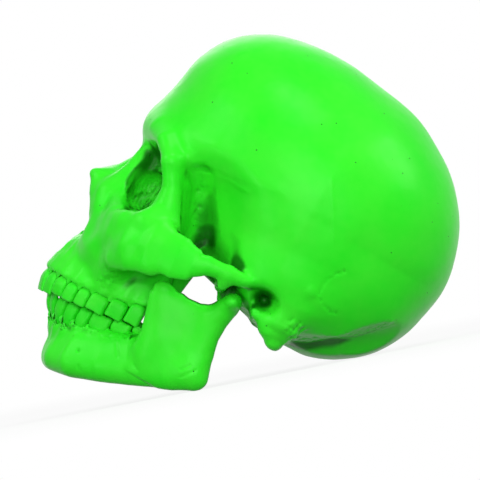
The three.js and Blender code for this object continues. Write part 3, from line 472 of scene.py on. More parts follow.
# The forms of each casting, in the order in which they are blended on or cut out: add or carve, over
# how many mm the edge is blended, and the points of a limb, or one point for an egg.
craniumForms = {
    "behindEyeSocket": (add, 8, (24, -67, 12, 19, 26, 24)),
    "templeHollow": (carve, 12, (72, -57, 10, 30, 29, 38)),
    "insideArch": (carve, 6, (50, -47, -4, 15, 13, 17)),
    "roundEar": (add, 12, (50, 6, 8, 14.5, 28, 17)),
    "skullBase": (add, 8, (0, -26, 2, 24, 24, 12)),
    "underNeckMuscles": (carve, 1.2, (52, 50.2, -45.5, 41.5, 41.5, 41.5),
        (58, 70.1, -34, 41.5, 41.5, 41.5), (52, 91.1, -11.4, 41.5, 41.5, 41.5)),
    "ridgeToEar": (add, 5, (12, -16, -7, 8, 7, 6), (34, -6, -6.6, 8, 8, 6), (50, 9, -3, 9, 12, 9)),
    "baseInFront": (add, 4, (0, -24, -5, 12, 6, 4.6), (0, 2, -9.8, 11, 7, 5)),
    "mastoid": (add, 4, (55, 14, 0, 9, 15, 9), (54.4, 15.4, -10, 8.4, 11, 8),
        (53.2, 14.8, -15, 6.8, 8.8, 7), (52, 17, -20, 5.4, 6.2, 5.6)),
    "mastoidFront": (add, 3, (55.5, 5.5, -11, 4, 5.6, 5), (53.4, 10.4, -17.2, 4.4, 5, 4.2)),
    "plateUnderEar": (add, 3, (57, 0.6, -8, 4, 3.8, 6.8), (42, 1.8, -12, 5, 3.8, 5.8)),
    "neckKnuckle": (add, 2.5, (9.6, 5.4, -15.8, 4.5, 5, 4), (14.5, 15, -16, 4.5, 6, 4)),
    "jointSpine": (add, 3, (37, -15, -12.4, 4.2, 7, 7.4), (33, -17, -6, 6, 9, 8)),
    "wingBehindPalate": (add, 4, (15, -44, -8, 5, 7, 6), (17, -46, -24, 3.6, 7, 7),
        (18.5, -45, -34, 3.4, 6, 5)),
    "upperJaw": (add, 6, (20, -78, -14, 20, 21, 19)),
    "upperJawFront": (add, 6, (15, -86, -24, 17, 12.5, 15)),
    "ridgeTop": (add, 6, *alveolarRidge("upper", upperGum, 14, 11, (5, 5.6), (5.2, 1.5))),
    "ridgeMiddle": (add, 5, *alveolarRidge("upper", upperGum, 6.4, 5.6, (4.3, 5.6), (1.4, 0))),
    "ridgeEdge": (add, 3, *alveolarRidge("upper", upperGum, 2.6, 2.8, (3.8, 5.2), (0.2, 0))),
    "betweenSockets": (add, 6, (0, -85, 30, 13, 8.4, 9), (0, -86.6, 14, 15, 12.6, 11),
        (0, -91, 4, 16, 13, 9)),
    "brow": (add, 10, (0, -93.4, 46, 8, 6.2, 7), (14, -93.6, 46, 7, 5.8, 5.6), (27, -92, 46, 7, 5.2, 5),
        (40, -86.5, 43, 6, 5.2, 4.8), (48.5, -78.5, 35.5, 4.6, 5.2, 5)),
    "cheek": (add, 6, (38, -84.5, -10, 7, 6, 10), (49, -75.5, -10, 6, 6.4, 13),
        (57, -64, -8.8, 4.8, 7, 11.8)),
    "cheekToTeeth": (add, 5, (49, -74.5, -15, 6.5, 6, 9), (38, -77.5, -23.5, 7, 7, 8),
        (29, -77, -32, 6, 8, 8)),
    "cheekBorder": (add, 4, (43, -77.5, -25.6, 4, 4.4, 4.8), (51, -70, -23, 4, 5, 4.8),
        (58, -60, -18.8, 3.6, 5, 4.8)),
    "socketLowerRim": (add, 4, (51, -73, -2, 5, 6, 5), (42, -83.2, -4.8, 6.5, 5.5, 6),
        (30, -89.6, -4.2, 7, 5.5, 7), (20, -92.4, 0, 5, 4.6, 6)),
    "socketOuterWall": (add, 5, (46.6, -70.5, 17, 3.6, 5, 16), (39, -56, 16, 4.4, 7, 18)),
    "socketOuterRim": (add, 4, (49.5, -77.5, 33, 4, 5, 5), (49.8, -70.6, 22, 3.8, 4.6, 5),
        (51, -66.8, 12, 4, 7, 6), (53, -66, 3, 4.4, 12, 6)),
    "grooveBehindRim": (carve, 4, (49, -60, 36, 5, 5, 5), (47, -55.5, 26.8, 8.5, 6.5, 8),
        (45, -48, 10, 10, 8, 9), (43, -43, -2, 10, 9, 9)),
    "besideNose": (add, 4, (10, -92.5, 33, 4.4, 4, 5), (13.6, -93.6, 20, 5, 5.4, 6),
        (16, -97.6, 4, 5.2, 7.4, 7), (17.5, -94.8, -9, 5.4, 6, 7), (17, -92.6, -20, 6, 6.4, 7)),
    "sideOfNose": (add, 5, (7, -101.6, 10.4, 4.4, 6, 5), (10.4, -100.4, 4.6, 4.4, 6.4, 6.6),
        (14, -97.4, -4, 5, 5.6, 7)),
    "noseRim": (add, 3, (6.8, -108, 8, 3, 4.4, 3.6), (10.4, -104.2, 1, 3, 4.2, 5),
        (13, -99.8, -7, 3, 3.4, 5)),
    "nasalBones": (add, 4, (0, -91, 34.6, 6, 5, 6), (0, -91.6, 27.4, 5.6, 4.8, 5),
        (0, -98, 16.8, 6.4, 5.2, 5), (0, -108.4, 9.4, 7.2, 5, 3.2)),
    "cheekArch": (add, 3, (58, -62, -8, 4, 6, 12), (63.6, -48.5, -8, 2.8, 5, 11.6),
        (65.2, -41, -7.4, 2.8, 4, 9.2), (65.4, -34.6, -4, 2.9, 5, 5.6), (64.6, -27, -2.6, 3, 6, 4.4),
        (62.6, -18, -1.6, 3.4, 6, 4.2), (58, -2, 0.5, 5, 8, 4)),
    "archRoot": (add, 3, (62, -22, -5, 3.8, 4, 6.6), (45, -22.4, -7.4, 6, 4, 5.6)),
    "underCheek": (carve, 2, (47.5, -57.5, -34.5, 15, 13.5, 13.5)),
    "besideTeeth": (carve, 1.5, (50, -76, -38.6, 14, 8, 7), (50, -64, -35.6, 14, 8, 8.4)),
    "eyeSocket": (carve, 2.5, (46, -104, 17, 25, 12, 20), (33.5, -86, 18.5, 19.6, 9, 19),
        (27.5, -72, 19.5, 14.4, 9, 15), (20, -58, 20.5, 9, 8, 9), (15, -49, 21, 4.5, 5, 4.5)),
    "socketFloorRim": (add, 3, (31, -88.5, -1.5, 5, 4.5, 4), (24, -91, 1, 4.5, 4.2, 4.5),
        (18.5, -92.6, 5, 4, 4.2, 6)),
    "socketInnerWall": (carve, 1.6, (18.5, -82.4, 9, 8.4, 8.2, 7), (17, -80.5, 18, 7.4, 8.4, 8)),
    "socketFissure": (carve, 2, (25, -57, 28, 3, 9, 2.4), (16, -51, 22, 3, 8, 3),
        (19, -54, 14, 3, 8, 2.4)),
    "nose": (carve, 1.5, (0, -130, -9.5, 11.5, 9, 10.5), (0, -92, -9.5, 11.5, 9, 10.5),
        (0, -64, -9, 10, 8, 10)),
    "noseUpper": (carve, 1.5, (0, -130, -1.6, 6.2, 9, 6.6), (0, -100, 1.2, 6.4, 9, 6.8),
        (0, -72, 5, 6.4, 8, 8)),
    "noseWall": (add, 1, (0, -93, -6, 1.7, 5, 14), (0, -64, -6, 1.7, 5, 14)),
    "noseSpine": (add, 2, (0, -94, -22.6, 3, 4, 3), (0, -98.6, -21.8, 1.8, 2.6, 1.8)),
    "hollowOverCanine": (carve, 6, (30, -106, -18, 8, 10, 9)),
    "palate": (carve, 4, (0, -68, -48, 19.5, 28, 17)),
    "openingUnderneath": (carve, 2.5, (0, 19, -44, 14.5, 17, 12), (0, 18, -4, 14.5, 17, 12)),
    "earHollow": (carve, 5, (62, 0.5, -5.2, 9, 8.5, 6), (71, -1, -14, 9, 8.5, 7)),
    "earCanal": (carve, 3, (62, 1.2, -5.2, 6, 6, 4.6), (46, 1.4, -4.4, 2.4, 2.6, 2.6)),
    "grooveInsideMastoid": (carve, 2, (45.5, 14, -24, 2.6, 7, 6), (45.5, 27, -19, 3, 8, 6)),
}
mandibleForms = {
    "lowerBorder": (add, 5, (0, -80.4, -86.8, 9, 6.6, 7.6), (11, -79, -86.6, 8, 7, 7.4),
        (22, -70, -85, 6.4, 8, 7.2), (30, -55, -79, 5.6, 8, 7.4), (38, -38, -71, 5.2, 8, 7.8),
        (44.5, -21, -63.4, 4.8, 8, 7.2), (47.4, -13, -58.8, 4.6, 8.6, 6.8)),
    "body": (add, 5, (0, -81.2, -78, 8, 4.6, 8), (11, -79.8, -78, 7, 4.8, 8),
        (22, -72.4, -76.5, 5.6, 6, 9), (29, -57, -70.5, 5.8, 7, 9.6), (36, -42, -62, 5.4, 7, 10),
        (43, -32, -54, 4.4, 8, 10)),
    "ridgeBase": (add, 5, *alveolarRidge("lower", lowerGum, -9, 8, (3.4, 5.2), (7.8, 0))),
    "ridgeMiddle": (add, 3, *alveolarRidge("lower", lowerGum, -4.4, 4.6, (3.4, 5.6), (4.2, 0))),
    "ridgeEdge": (add, 1.5, *alveolarRidge("lower", lowerGum, -1.1, 1.4, (2.6, 5.9), (4.2, 0))),
    "upright": (add, 6, (46, -35, -43, 3.4, 9.5, 19), (47, -25, -42, 3.4, 9, 19)),
    "angle": (add, 2, (47.4, -14, -57, 3.6, 8, 6), (48, -9.4, -59.8, 3, 4.6, 4.2)),
    "coronoid": (add, 4, (44.4, -48, -26.6, 2.4, 5.4, 4.4), (44.6, -46.6, -31, 2.8, 6.8, 6),
        (44.4, -42.4, -40, 3.3, 7, 7), (43.6, -38.8, -48, 4.2, 7, 8), (41, -38, -57, 5, 8, 8)),
    "neckAndBackEdge": (add, 4, (49.6, -13.6, -19, 5.4, 6, 4.6), (48.6, -15.2, -27, 4, 6.4, 6),
        (48, -15, -36, 3.8, 6, 7), (47.4, -14, -46, 4, 7.4, 8), (47.2, -13.4, -57, 4.4, 8, 6.8)),
    "condyle": (add, 3.5, (*joint["condyle"], *joint["condyleRadii"])),
}
casts = {
    "cranium": {"low": (0, -122, -56), "high": (76, 90, 134), "step": 0.9, "quickStep": 1.3,
                "triangles": 196000, "body": "skull", "row": "upper", "forms": craniumForms},
    "mandible": {"low": (0, -108, -100), "high": (66, 4, -2), "step": 0.7, "quickStep": 1.0,
                 "triangles": 130000, "body": "jaw", "row": "lower", "forms": mandibleForms},
}


def shapeBone(block, forms, row):
    for act, blend, *points in forms.values():
        act(block, egg(*points[0]) if len(points) == 1 else limb(*points), blend)
    addBoneAtTeeth(block, row)
    if row == "upper":  # the hollows that the condyles turn in
        cx, cy, cz = joint["condyle"]
        carve(block, limb((cx + 2, cy - 0.5, cz - 3, 13, 7.5, 6), (cx + 2, cy - 1, cz - 16, 14, 9, 8)), 2.5)
        carve(block, egg(cx, cy, cz, *(r + joint["clearance"] for r in joint["condyleRadii"])), 1)
    for tooth in rows[row]:
        carve(block, socketShape(tooth), 0.6)
    carve(block, boreShape(), 0.1)


# What the casting's surface has besides its form, in mm outward. Lines are given in the y and z of
# the side of the head, and patches by their centre and radii.
craniumMarks = {
    "underNeckStep": 2.6,
    # underNeckShade is not relief in mm but painted shade under the line of the neck muscles.
    "underNeckShade": 0.56,
    "nuchal": [(22.2, -18.1), (24.6, -14.8), (33.2, -10.5), (41.4, -3.3), (48.1, 1.2), (53.9, 5.2),
               (60.1, 12.5), (65.5, 19.3)],
    "suture": [(-62.1, 37), (-54.4, 39.6), (-45.8, 40.9), (-34.1, 40.9)],
    "seam": [(0.4, 68.8), (8.9, 55.2), (17.7, 41.1)],
    "behindEar": [[(30.3, 29.9), (25.8, 24.8), (24.1, 18.2), (24.6, 13)],
                  [(27, 10), (32.1, 8.6), (35.3, 7.4), (39, 9.5)]],
    "knob": ((66, 21, 11.5), (9, 4, 4)),
    "mastoid": ((58, 23, -10), (14, 9, 7)),
    "socket": ((20, -80, 12), (16, 13, 17)),
    "fossaEdge": [(-58.5, 33), (-56.5, 26), (-52, 17), (-47, 9)],
    "cheekUnder": ((36, -76, -38), (16, 12, 9)),
    "shadePockets": [  # painted shade: how much darker the deep places are painted than their shape alone makes them, lighter below 0
        ((38, -42.5, 4), (15, 8, 13), 0.4), ((42, -58, -22), (14, 9, 5), 0.35),
        ((20, -56, 21), (19, 27, 18), 0.4), ((44, -58, 32), (10, 8, 12), -0.2),
        ((56, 5, -9), (14, 10, 9), -0.25),
    ],
}
jawMarks = {
    "foramen": ((24, -70.9, -77.4), 1.5),
    "scratches": [
        [(-55.1, -64), (-51, -69.5)], [(-66.8, -84.4), (-65.2, -86)], [(-40.4, -69.2), (-38.6, -70.4)],
        [(-15.7, -54.2), (-18.5, -58.6)], [(-11.5, -55), (-16.6, -62)],
    ],
}


# The step under the line of the neck muscles, 1 just below it.
def underNeckLine(points):
    line = np.array(craniumMarks["nuchal"])
    below = np.interp(points[:, 1], line[:, 0], line[:, 1]) - 1 - points[:, 2]
    side = np.clip((np.abs(points[:, 0]) - 10) / 14, 0, 1)
    fade = np.clip((points[:, 1] - 20) / 6, 0, 1) * np.clip((64 - points[:, 1]) / 18, 0, 1)
    return side * fade * np.clip(below / 2.4, 0, 1) * np.exp(-np.maximum(below - 2.4, 0) / 9)


def craniumRelief(points):
    marks = craniumMarks
    side = np.clip((np.abs(points[:, 0]) - 18) / 14, 0, 1)
    fine = waves(points, 3.4, 5, 14)
    relief = 0.1 * waves(points, 30, 3) + 0.03 * waves(points, 7.5, 8)
    relief += side * ridge(points, marks["nuchal"], 2.0) * (0.3 + 0.22 * fine)
    relief -= marks["underNeckStep"] * underNeckLine(points)
    relief += side * ridge(points, marks["suture"], 1.0) * 0.2
    relief += side * ridge(points, marks["seam"], 0.9) * 0.14
    for line in marks["behindEar"]:
        relief -= side * ridge(points, line, 0.9) * 0.4 * (0.6 + 0.6 * fine)
    relief += patch(points, *marks["knob"]) * 0.5
    relief += patch(points, *marks["mastoid"]) * 0.5 * fine
    relief += patch(points, *marks["cheekUnder"]) * 0.25 * fine
    # Standing folds on the inner wall of the eye socket.
    folds = waves(points * (1, 1.4, 0.35), 4.2, 11, 12)
    relief += patch(points, *marks["socket"]) * 1.5 * (1 - np.clip(1.7 * np.abs(folds), 0, 1))
    relief += side * ridge(points, marks["fossaEdge"], 1.8) * 0.25 * fine
    return relief


def jawRelief(points):
    fine = waves(points, 3.0, 21, 14)
    relief = 0.08 * waves(points, 26, 23) + 0.03 * waves(points, 8, 22)
    gum = np.array([lowerGum(y) for y in points[:, 1]])
    margin = np.exp(-((points[:, 2] - gum + 1.4) / 1.8) ** 2) * (points[:, 1] < -50)
    margin *= np.clip((points[:, 1] + 92) / 12, 0, 1)
    relief += margin * (0.2 + 0.2 * fine)
    centre, size = jawMarks["foramen"]
    relief -= patch(points, centre, (8, size, size)) * 1.6
    for line in jawMarks["scratches"]:
        relief -= ridge(points, line, 0.8) * 0.3 * (np.abs(points[:, 0]) > 20)
    return relief


# How shut in each point of the surface is, from 0 in the open to 1 deep in a hollow: how far the field
# out along the normal falls short of the open distance.
# The mark is painted shade: the material darkens the colour where it is high.
def markHollowShade(piece, block, isSkull):
    mesh = piece.data
    points, normals = np.empty(len(mesh.vertices) * 3), np.empty(len(mesh.vertices) * 3)
    mesh.vertices.foreach_get("co", points)
    mesh.vertex_normals.foreach_get("vector", normals)
    back = np.array(toTable.inverted())
    points = points.reshape(-1, 3) @ back[:3, :3].T + back[:3, 3]
    normals = normals.reshape(-1, 3) @ np.array(turn)
    low, high = np.array([axis[[0, -1]] for axis in block["axes"]]).T
    hollow = np.zeros(len(points))
    for reach, share in ((3, 0.15), (7, 0.25), (13, 0.3), (21, 0.3)):
        probe = points + normals * reach
        probe[:, 0] = np.abs(probe[:, 0])
        inside = np.clip(probe, low, high)
        value, _ = sampleField(block["f"], (inside - low) / block["step"])
        value += np.linalg.norm(probe - inside, axis=1)
        hollow += share * np.clip(1 - value / reach, 0, 1)
    # Painted shade under the line of the neck muscles and in the pockets, added to the mark.
    if isSkull:
        hollow += craniumMarks["underNeckShade"] * underNeckLine(points)
        for centre, radii, amount in craniumMarks["shadePockets"]:
            hollow += amount * patch(points, centre, radii)
    mark = mesh.attributes.new("hollow", "FLOAT", "POINT")
    mark.data.foreach_set("value", hollow.astype(np.float32))


def castPiece(node, relief):
    cast, name = casts[node], node + "_cast"
    block = makeBlock(cast["low"], cast["high"], cast["step"])
    if node == "cranium":
        block["f"][:] = sampled(block, makeVault(vaultShape), [slice(None)] * 3)
    shapeBone(block, cast["forms"], cast["row"])
    points, quads, normals = netOf(block)
    points = points + normals * relief(points)[:, None]
    piece = placeObject(name, meshFrom(name, points, quads))
    piece.data.transform(toTable)
    share = cast["triangles"] / (2 * len(quads))
    if share < 1:
        piece.modifiers.new("thin", "DECIMATE").ratio = share
        bakeModifiers(piece)
        piece.data.shade_smooth()
    markHollowShade(piece, block, cast["body"] == "skull")
    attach(piece, cast["body"])
    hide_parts(node)
    print(name, "made:", len(piece.data.polygons), "faces")
    return piece


craniumCast = castPiece("cranium", craniumRelief)
mandibleCast = castPiece("mandible", jawRelief)


def operator(operation, turned=False):
    def work(*values):
        return calc(operation, *(values[::-1] if turned else values))

    return work


# A wire is a node's output. Sums, products and powers of wires add the Math nodes that work them out.
class Wire:
    __add__, __mul__, __pow__, __abs__ = map(operator, ("ADD", "MULTIPLY", "POWER", "ABSOLUTE"))
    __sub__, __rsub__ = operator("SUBTRACT"), operator("SUBTRACT", turned=True)
    __truediv__, __rtruediv__ = operator("DIVIDE"), operator("DIVIDE", turned=True)

    def __init__(self, socket):
        self.tree, self.socket = socket.id_data, socket

    def into(self, socket):
        self.tree.links.new(self.socket, socket)


# Inputs are given by name, with _ for a space, or by place, as i0, i1 and so on.
def addNode(tree, kind, settings=None, **values):
    node = tree.nodes.new(kind if "Node" in kind else "ShaderNode" + kind)
    for key, value in (settings or {}).items():
        setattr(node, key, value)
    for key, value in values.items():
        byPlace = key[0] == "i" and key[1:].isdigit()
        socket = node.inputs[int(key[1:]) if byPlace else key.replace("_", " ")]
        if isinstance(value, Wire):
            value.into(socket)
        else:
            socket.default_value = value
    return node


def wire(tree, kind, settings=None, out=0, **values):
    return Wire(addNode(tree, kind, settings, **values).outputs[out])


def wiresOf(node):
    return {socket.name: Wire(socket) for socket in node.outputs}


def calc(operation, *values):
    tree = next(value.tree for value in values if isinstance(value, Wire))
    inputs = {f"i{place}": value for place, value in enumerate(values)}
    return wire(tree, "Math", {"operation": operation}, **inputs)


def ease(value, start, stop, low=0.0, high=1.0):
    return wire(value.tree, "MapRange", {"interpolation_type": "SMOOTHSTEP"}, Value=value,
                From_Min=start, From_Max=stop, To_Min=low, To_Max=high)


def mixFloat(share, a, b):
    return wire(share.tree, "Mix", {"data_type": "FLOAT"}, i0=share, i2=a, i3=b)


def mixColor(share, a, b):
    return wire(share.tree, "Mix", {"data_type": "RGBA"}, 2, i0=share, i6=a, i7=b)


def noise(place, scale, detail):
    return wire(place.tree, "TexNoise", Vector=place, Scale=scale, Detail=detail)


def objectPlace(tree):
    return wire(tree, "TexCoord", out="Object")


def profileCurve(along, points):
    node = addNode(along.tree, "FloatCurve", Value=along)
    curve = node.mapping.curves[0]
    node.mapping.use_clip = False
    for x, y in points[1:-1]:
        curve.points.new(x, y)
    for point, (x, y) in zip(sorted(curve.points, key=lambda p: p.location[0]), points):
        point.location = (x, y)
    node.mapping.update()
    return Wire(node.outputs[0])


# A socket is a number unless its name says what else it is.
socketKinds = ("Color", "Vector", "Material", "Geometry")


def newGroup(name, inputs, outputs, kind="ShaderNodeTree"):
    tree = bpy.data.node_groups.new(name, kind)
    for way, sockets in (("OUTPUT", dict.fromkeys(outputs)), ("INPUT", inputs)):
        for socket, value in sockets.items():
            holds = "NodeSocket" + (socket if socket in socketKinds else "Float")
            made = tree.interface.new_socket(socket, in_out=way, socket_type=holds)
            if value is not None:
                made.default_value = value
    given = wiresOf(tree.nodes.new("NodeGroupInput"))
    return tree, given, tree.nodes.new("NodeGroupOutput").inputs


# How a tooth's half width and half depth change along it, as a share of the whole: 0 is the end of
# the root, 0.4 the gum and 1 the biting edge.
crownProfiles = {
    "frontWidth": [(0, 0.42), (0.2, 0.66), (0.4, 0.93), (0.55, 1.02), (0.8, 1.04), (0.95, 1.03), (1, 1.0)],
    "frontDepth": [(0, 0.44), (0.2, 0.66), (0.4, 0.82), (0.56, 1.0), (0.8, 0.7), (0.95, 0.36), (1, 0.2)],
    "molarWidth": [(0, 0.42), (0.2, 0.66), (0.4, 0.94), (0.52, 1.02), (0.8, 1.035), (0.95, 1.03),
                   (1, 0.99)],
    "molarDepth": [(0, 0.44), (0.2, 0.66), (0.4, 0.86), (0.52, 0.98), (0.8, 1.0), (0.95, 0.93), (1, 0.8)],
    "gumAt": 0.4,
    "squareFrom": (0.3, 0.6),  # where the round root turns into the squarer crown
    "rootPower": 2.3, "topFrom": 0.8,
    "sides": 36, "rings": 26, "capRings": 6,
    "notch": 0.35,  # mm between neighbouring cusps
    "fossa": 1.0,  # mm down to the middle of the biting surface
    "peak": 0.8,  # mm that a pointed tooth drops to its sides
    "corner": 0.22,  # mm that the corners of the edge are rounded
    "sideGroove": 0.07,  # share of the depth
    "slant": 0.25,  # mm over each mm across the biting surface of a cheek tooth
    "taller": {"incisor": 0.14, "canine": 0.18, "premolar": 0.38, "molar": 0.38},  # mm
}


def toothTree(profiles):
    names = ("Half Width", "Half Depth", "Crown", "Root", "Molar", "Point", "Cusps", "Cross", "Square",
             "Lean", "Bend", "Slant", "Material")
    tree, given, out = newGroup("toothCrown", dict.fromkeys(names), ["Geometry"], "GeometryNodeTree")
    shape = wire(tree, "GeometryNodeMeshCylinder", {"fill_type": "TRIANGLE_FAN"}, "Mesh",
                 Vertices=profiles["sides"], Side_Segments=profiles["rings"],
                 Fill_Segments=profiles["capRings"], Radius=1.0, Depth=1.0)
    place = addNode(tree, "SeparateXYZ", Vector=wire(tree, "GeometryNodeInputPosition"))
    x, y, z = wiresOf(place).values()
    t = z + 0.5
    reach = calc("MAXIMUM", calc("SQRT", x * x + y * y), 1e-5)
    squareness = mixFloat(ease(t, *profiles["squareFrom"]), profiles["rootPower"], given["Square"])
    power = 2.0 / squareness
    plan = []
    for axis in (x, y):
        share = axis / reach
        plan.append((share, calc("SIGN", share) * (abs(share) ** power * reach)))
    (cosine, planX), (sine, planY) = plan
    width, depth = (
        mixFloat(given["Molar"], *(profileCurve(t, profiles[tooth + size]) for tooth in ("front", "molar")))
        for size in ("Width", "Depth")
    )
    gumAt = profiles["gumAt"]
    top = ease(t, profiles["topFrom"], 1.0)
    # Height: the root below the gum, the crown above it, less what the cusps leave out.
    below = (calc("MINIMUM", t, gumAt) - gumAt) * (1 / gumAt)
    above = calc("MAXIMUM", t - gumAt, 0.0) * (1 / (1 - gumAt))
    corner = abs(cosine * sine * 2.0)
    notch = mixFloat(given["Cross"], cosine * cosine, 1.0 - corner)
    across = abs(planX)
    cut = (notch * reach * profiles["notch"] + (1.0 - reach) * profiles["fossa"]) * given["Cusps"]
    cut = cut + across * profiles["peak"] * given["Point"] + across ** 8.0 * profiles["corner"]
    height = below * given["Root"] + above * given["Crown"] - cut * top
    u = planX * width * given["Half Width"]
    v = planY * depth * given["Half Depth"]
    # The grooves that run down the cheek side of a molar between its cusps.
    v = v * (1.0 - (1.0 - across) ** 6.0 * profiles["sideGroove"] * given["Cross"] * above)
    lean = given["Lean"] * height
    where = wire(tree, "CombineXYZ", X=u * (lean * given["Bend"] + 1.0), Y=v + lean,
                 Z=height + v * given["Slant"] * top)
    for kind, values in (("SetPosition", {"Position": where}), ("SetShadeSmooth", {}),
                         ("RealizeInstances", {}), ("SetMaterial", {"Material": given["Material"]})):
        shape = wire(tree, "GeometryNode" + kind, Geometry=shape, **values)
    shape.into(out["Geometry"])
    return tree


def runTree(name, tree, values):
    piece = placeObject(name, bpy.data.meshes.new(name))
    step = piece.modifiers.new(tree.name, "NODES")
    step.node_group = tree
    ids = {item.name: item.identifier for item in tree.interface.items_tree if item.in_out == "INPUT"}
    for key, value in values.items():
        step[ids[key]] = value
    return bakeModifiers(piece)


# A node group each for the uneven colour, the pinholes, the fine grain, and the painted shade in the
# hollows with painted highlight on the edges of the casting.
def resinMottle():
    tree, given, out = newGroup(
        "resinMottle", {"Color": None, "Vector": None, "Amount": 0.1, "Size": 0.03}, ["Color"],
    )
    scale = 1.0 / given["Size"]
    cloud, speck = noise(given["Vector"], scale, 3.0), noise(given["Vector"], scale * 7.0, 2.0)
    offset = (cloud * 0.75 + speck * 0.25 - 0.5) * given["Amount"]
    wire(tree, "HueSaturation", Color=given["Color"], Hue=0.5 - offset * 0.12,
         Saturation=1.0 - offset * 0.5, Value=offset + 1.0).into(out["Color"])
    return tree


def castPinholes():
    tree, given, out = newGroup(
        "castPinholes", {"Vector": None, "Spacing": 0.007, "Size": 0.0004, "Share": 0.8}, ["Mask"],
    )
    cells = wiresOf(addNode(tree, "TexVoronoi", Vector=given["Vector"], Scale=1.0 / given["Spacing"]))
    hole = ease(cells["Distance"] * given["Spacing"], given["Size"] * 0.5, given["Size"], 1.0, 0.0)
    pick = wire(tree, "SeparateColor", Color=cells["Color"])
    (hole * calc("LESS_THAN", pick, given["Share"])).into(out["Mask"])
    return tree


def castGrain():
    tree, given, out = newGroup("castGrain", {"Vector": None, "Size": 0.002}, ["Height"])
    scale = 1.0 / given["Size"]
    fine, broad = noise(given["Vector"], scale, 4.0), noise(given["Vector"], scale * 0.22, 2.0)
    (fine * 0.35 + broad * 0.65).into(out["Height"])
    return tree


# Painted shade in concave places and painted highlight on pointed edges, by the pointiness.
def paintedCavityShading():
    tree, given, out = newGroup(
        "paintedCavityShading", {"Pointiness": 0.5, "Hollow": 0.5, "Edge": 0.3}, ["Hollow", "Edge"],
    )
    for name, start, stop in (("Hollow", 0.495, 0.44), ("Edge", 0.505, 0.56)):
        (ease(given["Pointiness"], start, stop) * given[name]).into(out[name])
    return tree


groups = {"mottle": resinMottle(), "pinholes": castPinholes(), "grain": castGrain(), "cavityShading": paintedCavityShading()}


def useGroup(tree, name, **values):
    return wiresOf(addNode(tree, "Group", {"node_tree": groups[name]}, **values))


# dark and light are the colours of the painted shade in hollows and of the painted highlight on edges.
resin = {
    "dark": (0.004, 0.30, 0.004, 1), "light": (0.08, 0.90, 0.07, 1), "tint": (0.6, 1.0, 0.6, 1),
    "edge": 0.3, "grainRoughness": 0.16, "pinholeShadeColor": (0.004, 0.09, 0.006, 1), "pinholeShare": 0.6,
    "pinholeDepth": 0.0003,
}
resins = {
    "bone_resin": {
        **resin, "color": (0.032, 0.80, 0.019, 1), "mottle": 0.07, "mottleSize": 0.03, "hollow": 0.55,
        "deepShade": (0.002, 0.12, 0.002, 1), "deepShadeShare": 0.9, "deepShadeFrom": 0.42, "deepShadeTo": 0.7,
        "roughness": 0.36, "specular": 0.2, "pinholeSize": 0.00042, "grainDepth": 0.00008,
    },
    # The teeth are the same resin as the bone; their darker colour is painted shade.
    "tooth_resin": {
        **resin, "color": (0.028, 0.74, 0.017, 1), "mottle": 0.1, "mottleSize": 0.012, "hollow": 0.4,
        "roughness": 0.42, "specular": 0.22, "pinholeSize": 0.0004, "grainDepth": 0.00005,
    },
}
steel = {
    "dark": (0.48, 0.49, 0.50, 1), "light": (0.62, 0.63, 0.64, 1),
    "turning": (9000, 300, 300),  # marks to a metre, along the pin and across it
    "roughness": 0.22, "uneven": 0.2,
}


def newMaterial(name):
    material = bpy.data.materials.new(name)
    material.use_nodes = True
    return material, material.node_tree, material.node_tree.nodes["Principled BSDF"].inputs


def resinMaterial(name, look):
    material, tree, shader = newMaterial(name)
    place = objectPlace(tree)
    color = useGroup(tree, "mottle", Color=look["color"], Vector=place, Amount=look["mottle"],
                     Size=look["mottleSize"])["Color"]
    # Painted shade in concave places and painted highlight on pointed edges.
    curve = wire(tree, "NewGeometry", out="Pointiness")
    cavityShading = useGroup(tree, "cavityShading", Pointiness=curve, Hollow=look["hollow"], Edge=look["edge"])
    color = mixColor(cavityShading["Hollow"], color, look["dark"])
    color = mixColor(cavityShading["Edge"], color, look["light"])
    # Painted shade from the mesh's mark of how shut in the surface is.
    if "deepShade" in look:
        hollow = wire(tree, "Attribute", {"attribute_name": "hollow"}, "Fac")
        hollow = ease(hollow, look["deepShadeFrom"], look["deepShadeTo"], 0.0, look["deepShadeShare"])
        color = mixColor(hollow, color, look["deepShade"])
    # Pinholes: small pits, whose dark colour is painted shade.
    holes = useGroup(tree, "pinholes", Vector=place, Size=look["pinholeSize"],
                     Share=look["pinholeShare"])["Mask"]
    grain = useGroup(tree, "grain", Vector=place)["Height"]
    height = grain * look["grainDepth"] - holes * look["pinholeDepth"]
    ((grain - 0.5) * look["grainRoughness"] + look["roughness"]).into(shader["Roughness"])
    mixColor(holes, color, look["pinholeShadeColor"]).into(shader["Base Color"])
    wire(tree, "Bump", Height=height, Strength=1.0, Distance=1.0).into(shader["Normal"])
    shader["Specular IOR Level"].default_value = look["specular"]
    shader["Specular Tint"].default_value = look["tint"]
    return material


def steelMaterial(name, look):
    material, tree, shader = newMaterial(name)
    turned = wire(tree, "Mapping", Vector=objectPlace(tree), Scale=look["turning"])
    rings = noise(turned, 1.0, 2.0)
    mixColor(rings, look["dark"], look["light"]).into(shader["Base Color"])
    (rings * look["uneven"] + look["roughness"]).into(shader["Roughness"])
    shader["Metallic"].default_value = 1.0
    return material


materials = {name: resinMaterial(name, look) for name, look in resins.items()}
materials["pin_steel"] = steelMaterial("pin_steel", steel)

for piece in (craniumCast, mandibleCast):
    piece.data.materials.append(materials["bone_resin"])
for node in ("pivot_pin_left", "pivot_pin_right"):
    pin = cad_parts[node]
    pin.data.materials.clear()
    pin.data.materials.append(materials["pin_steel"])

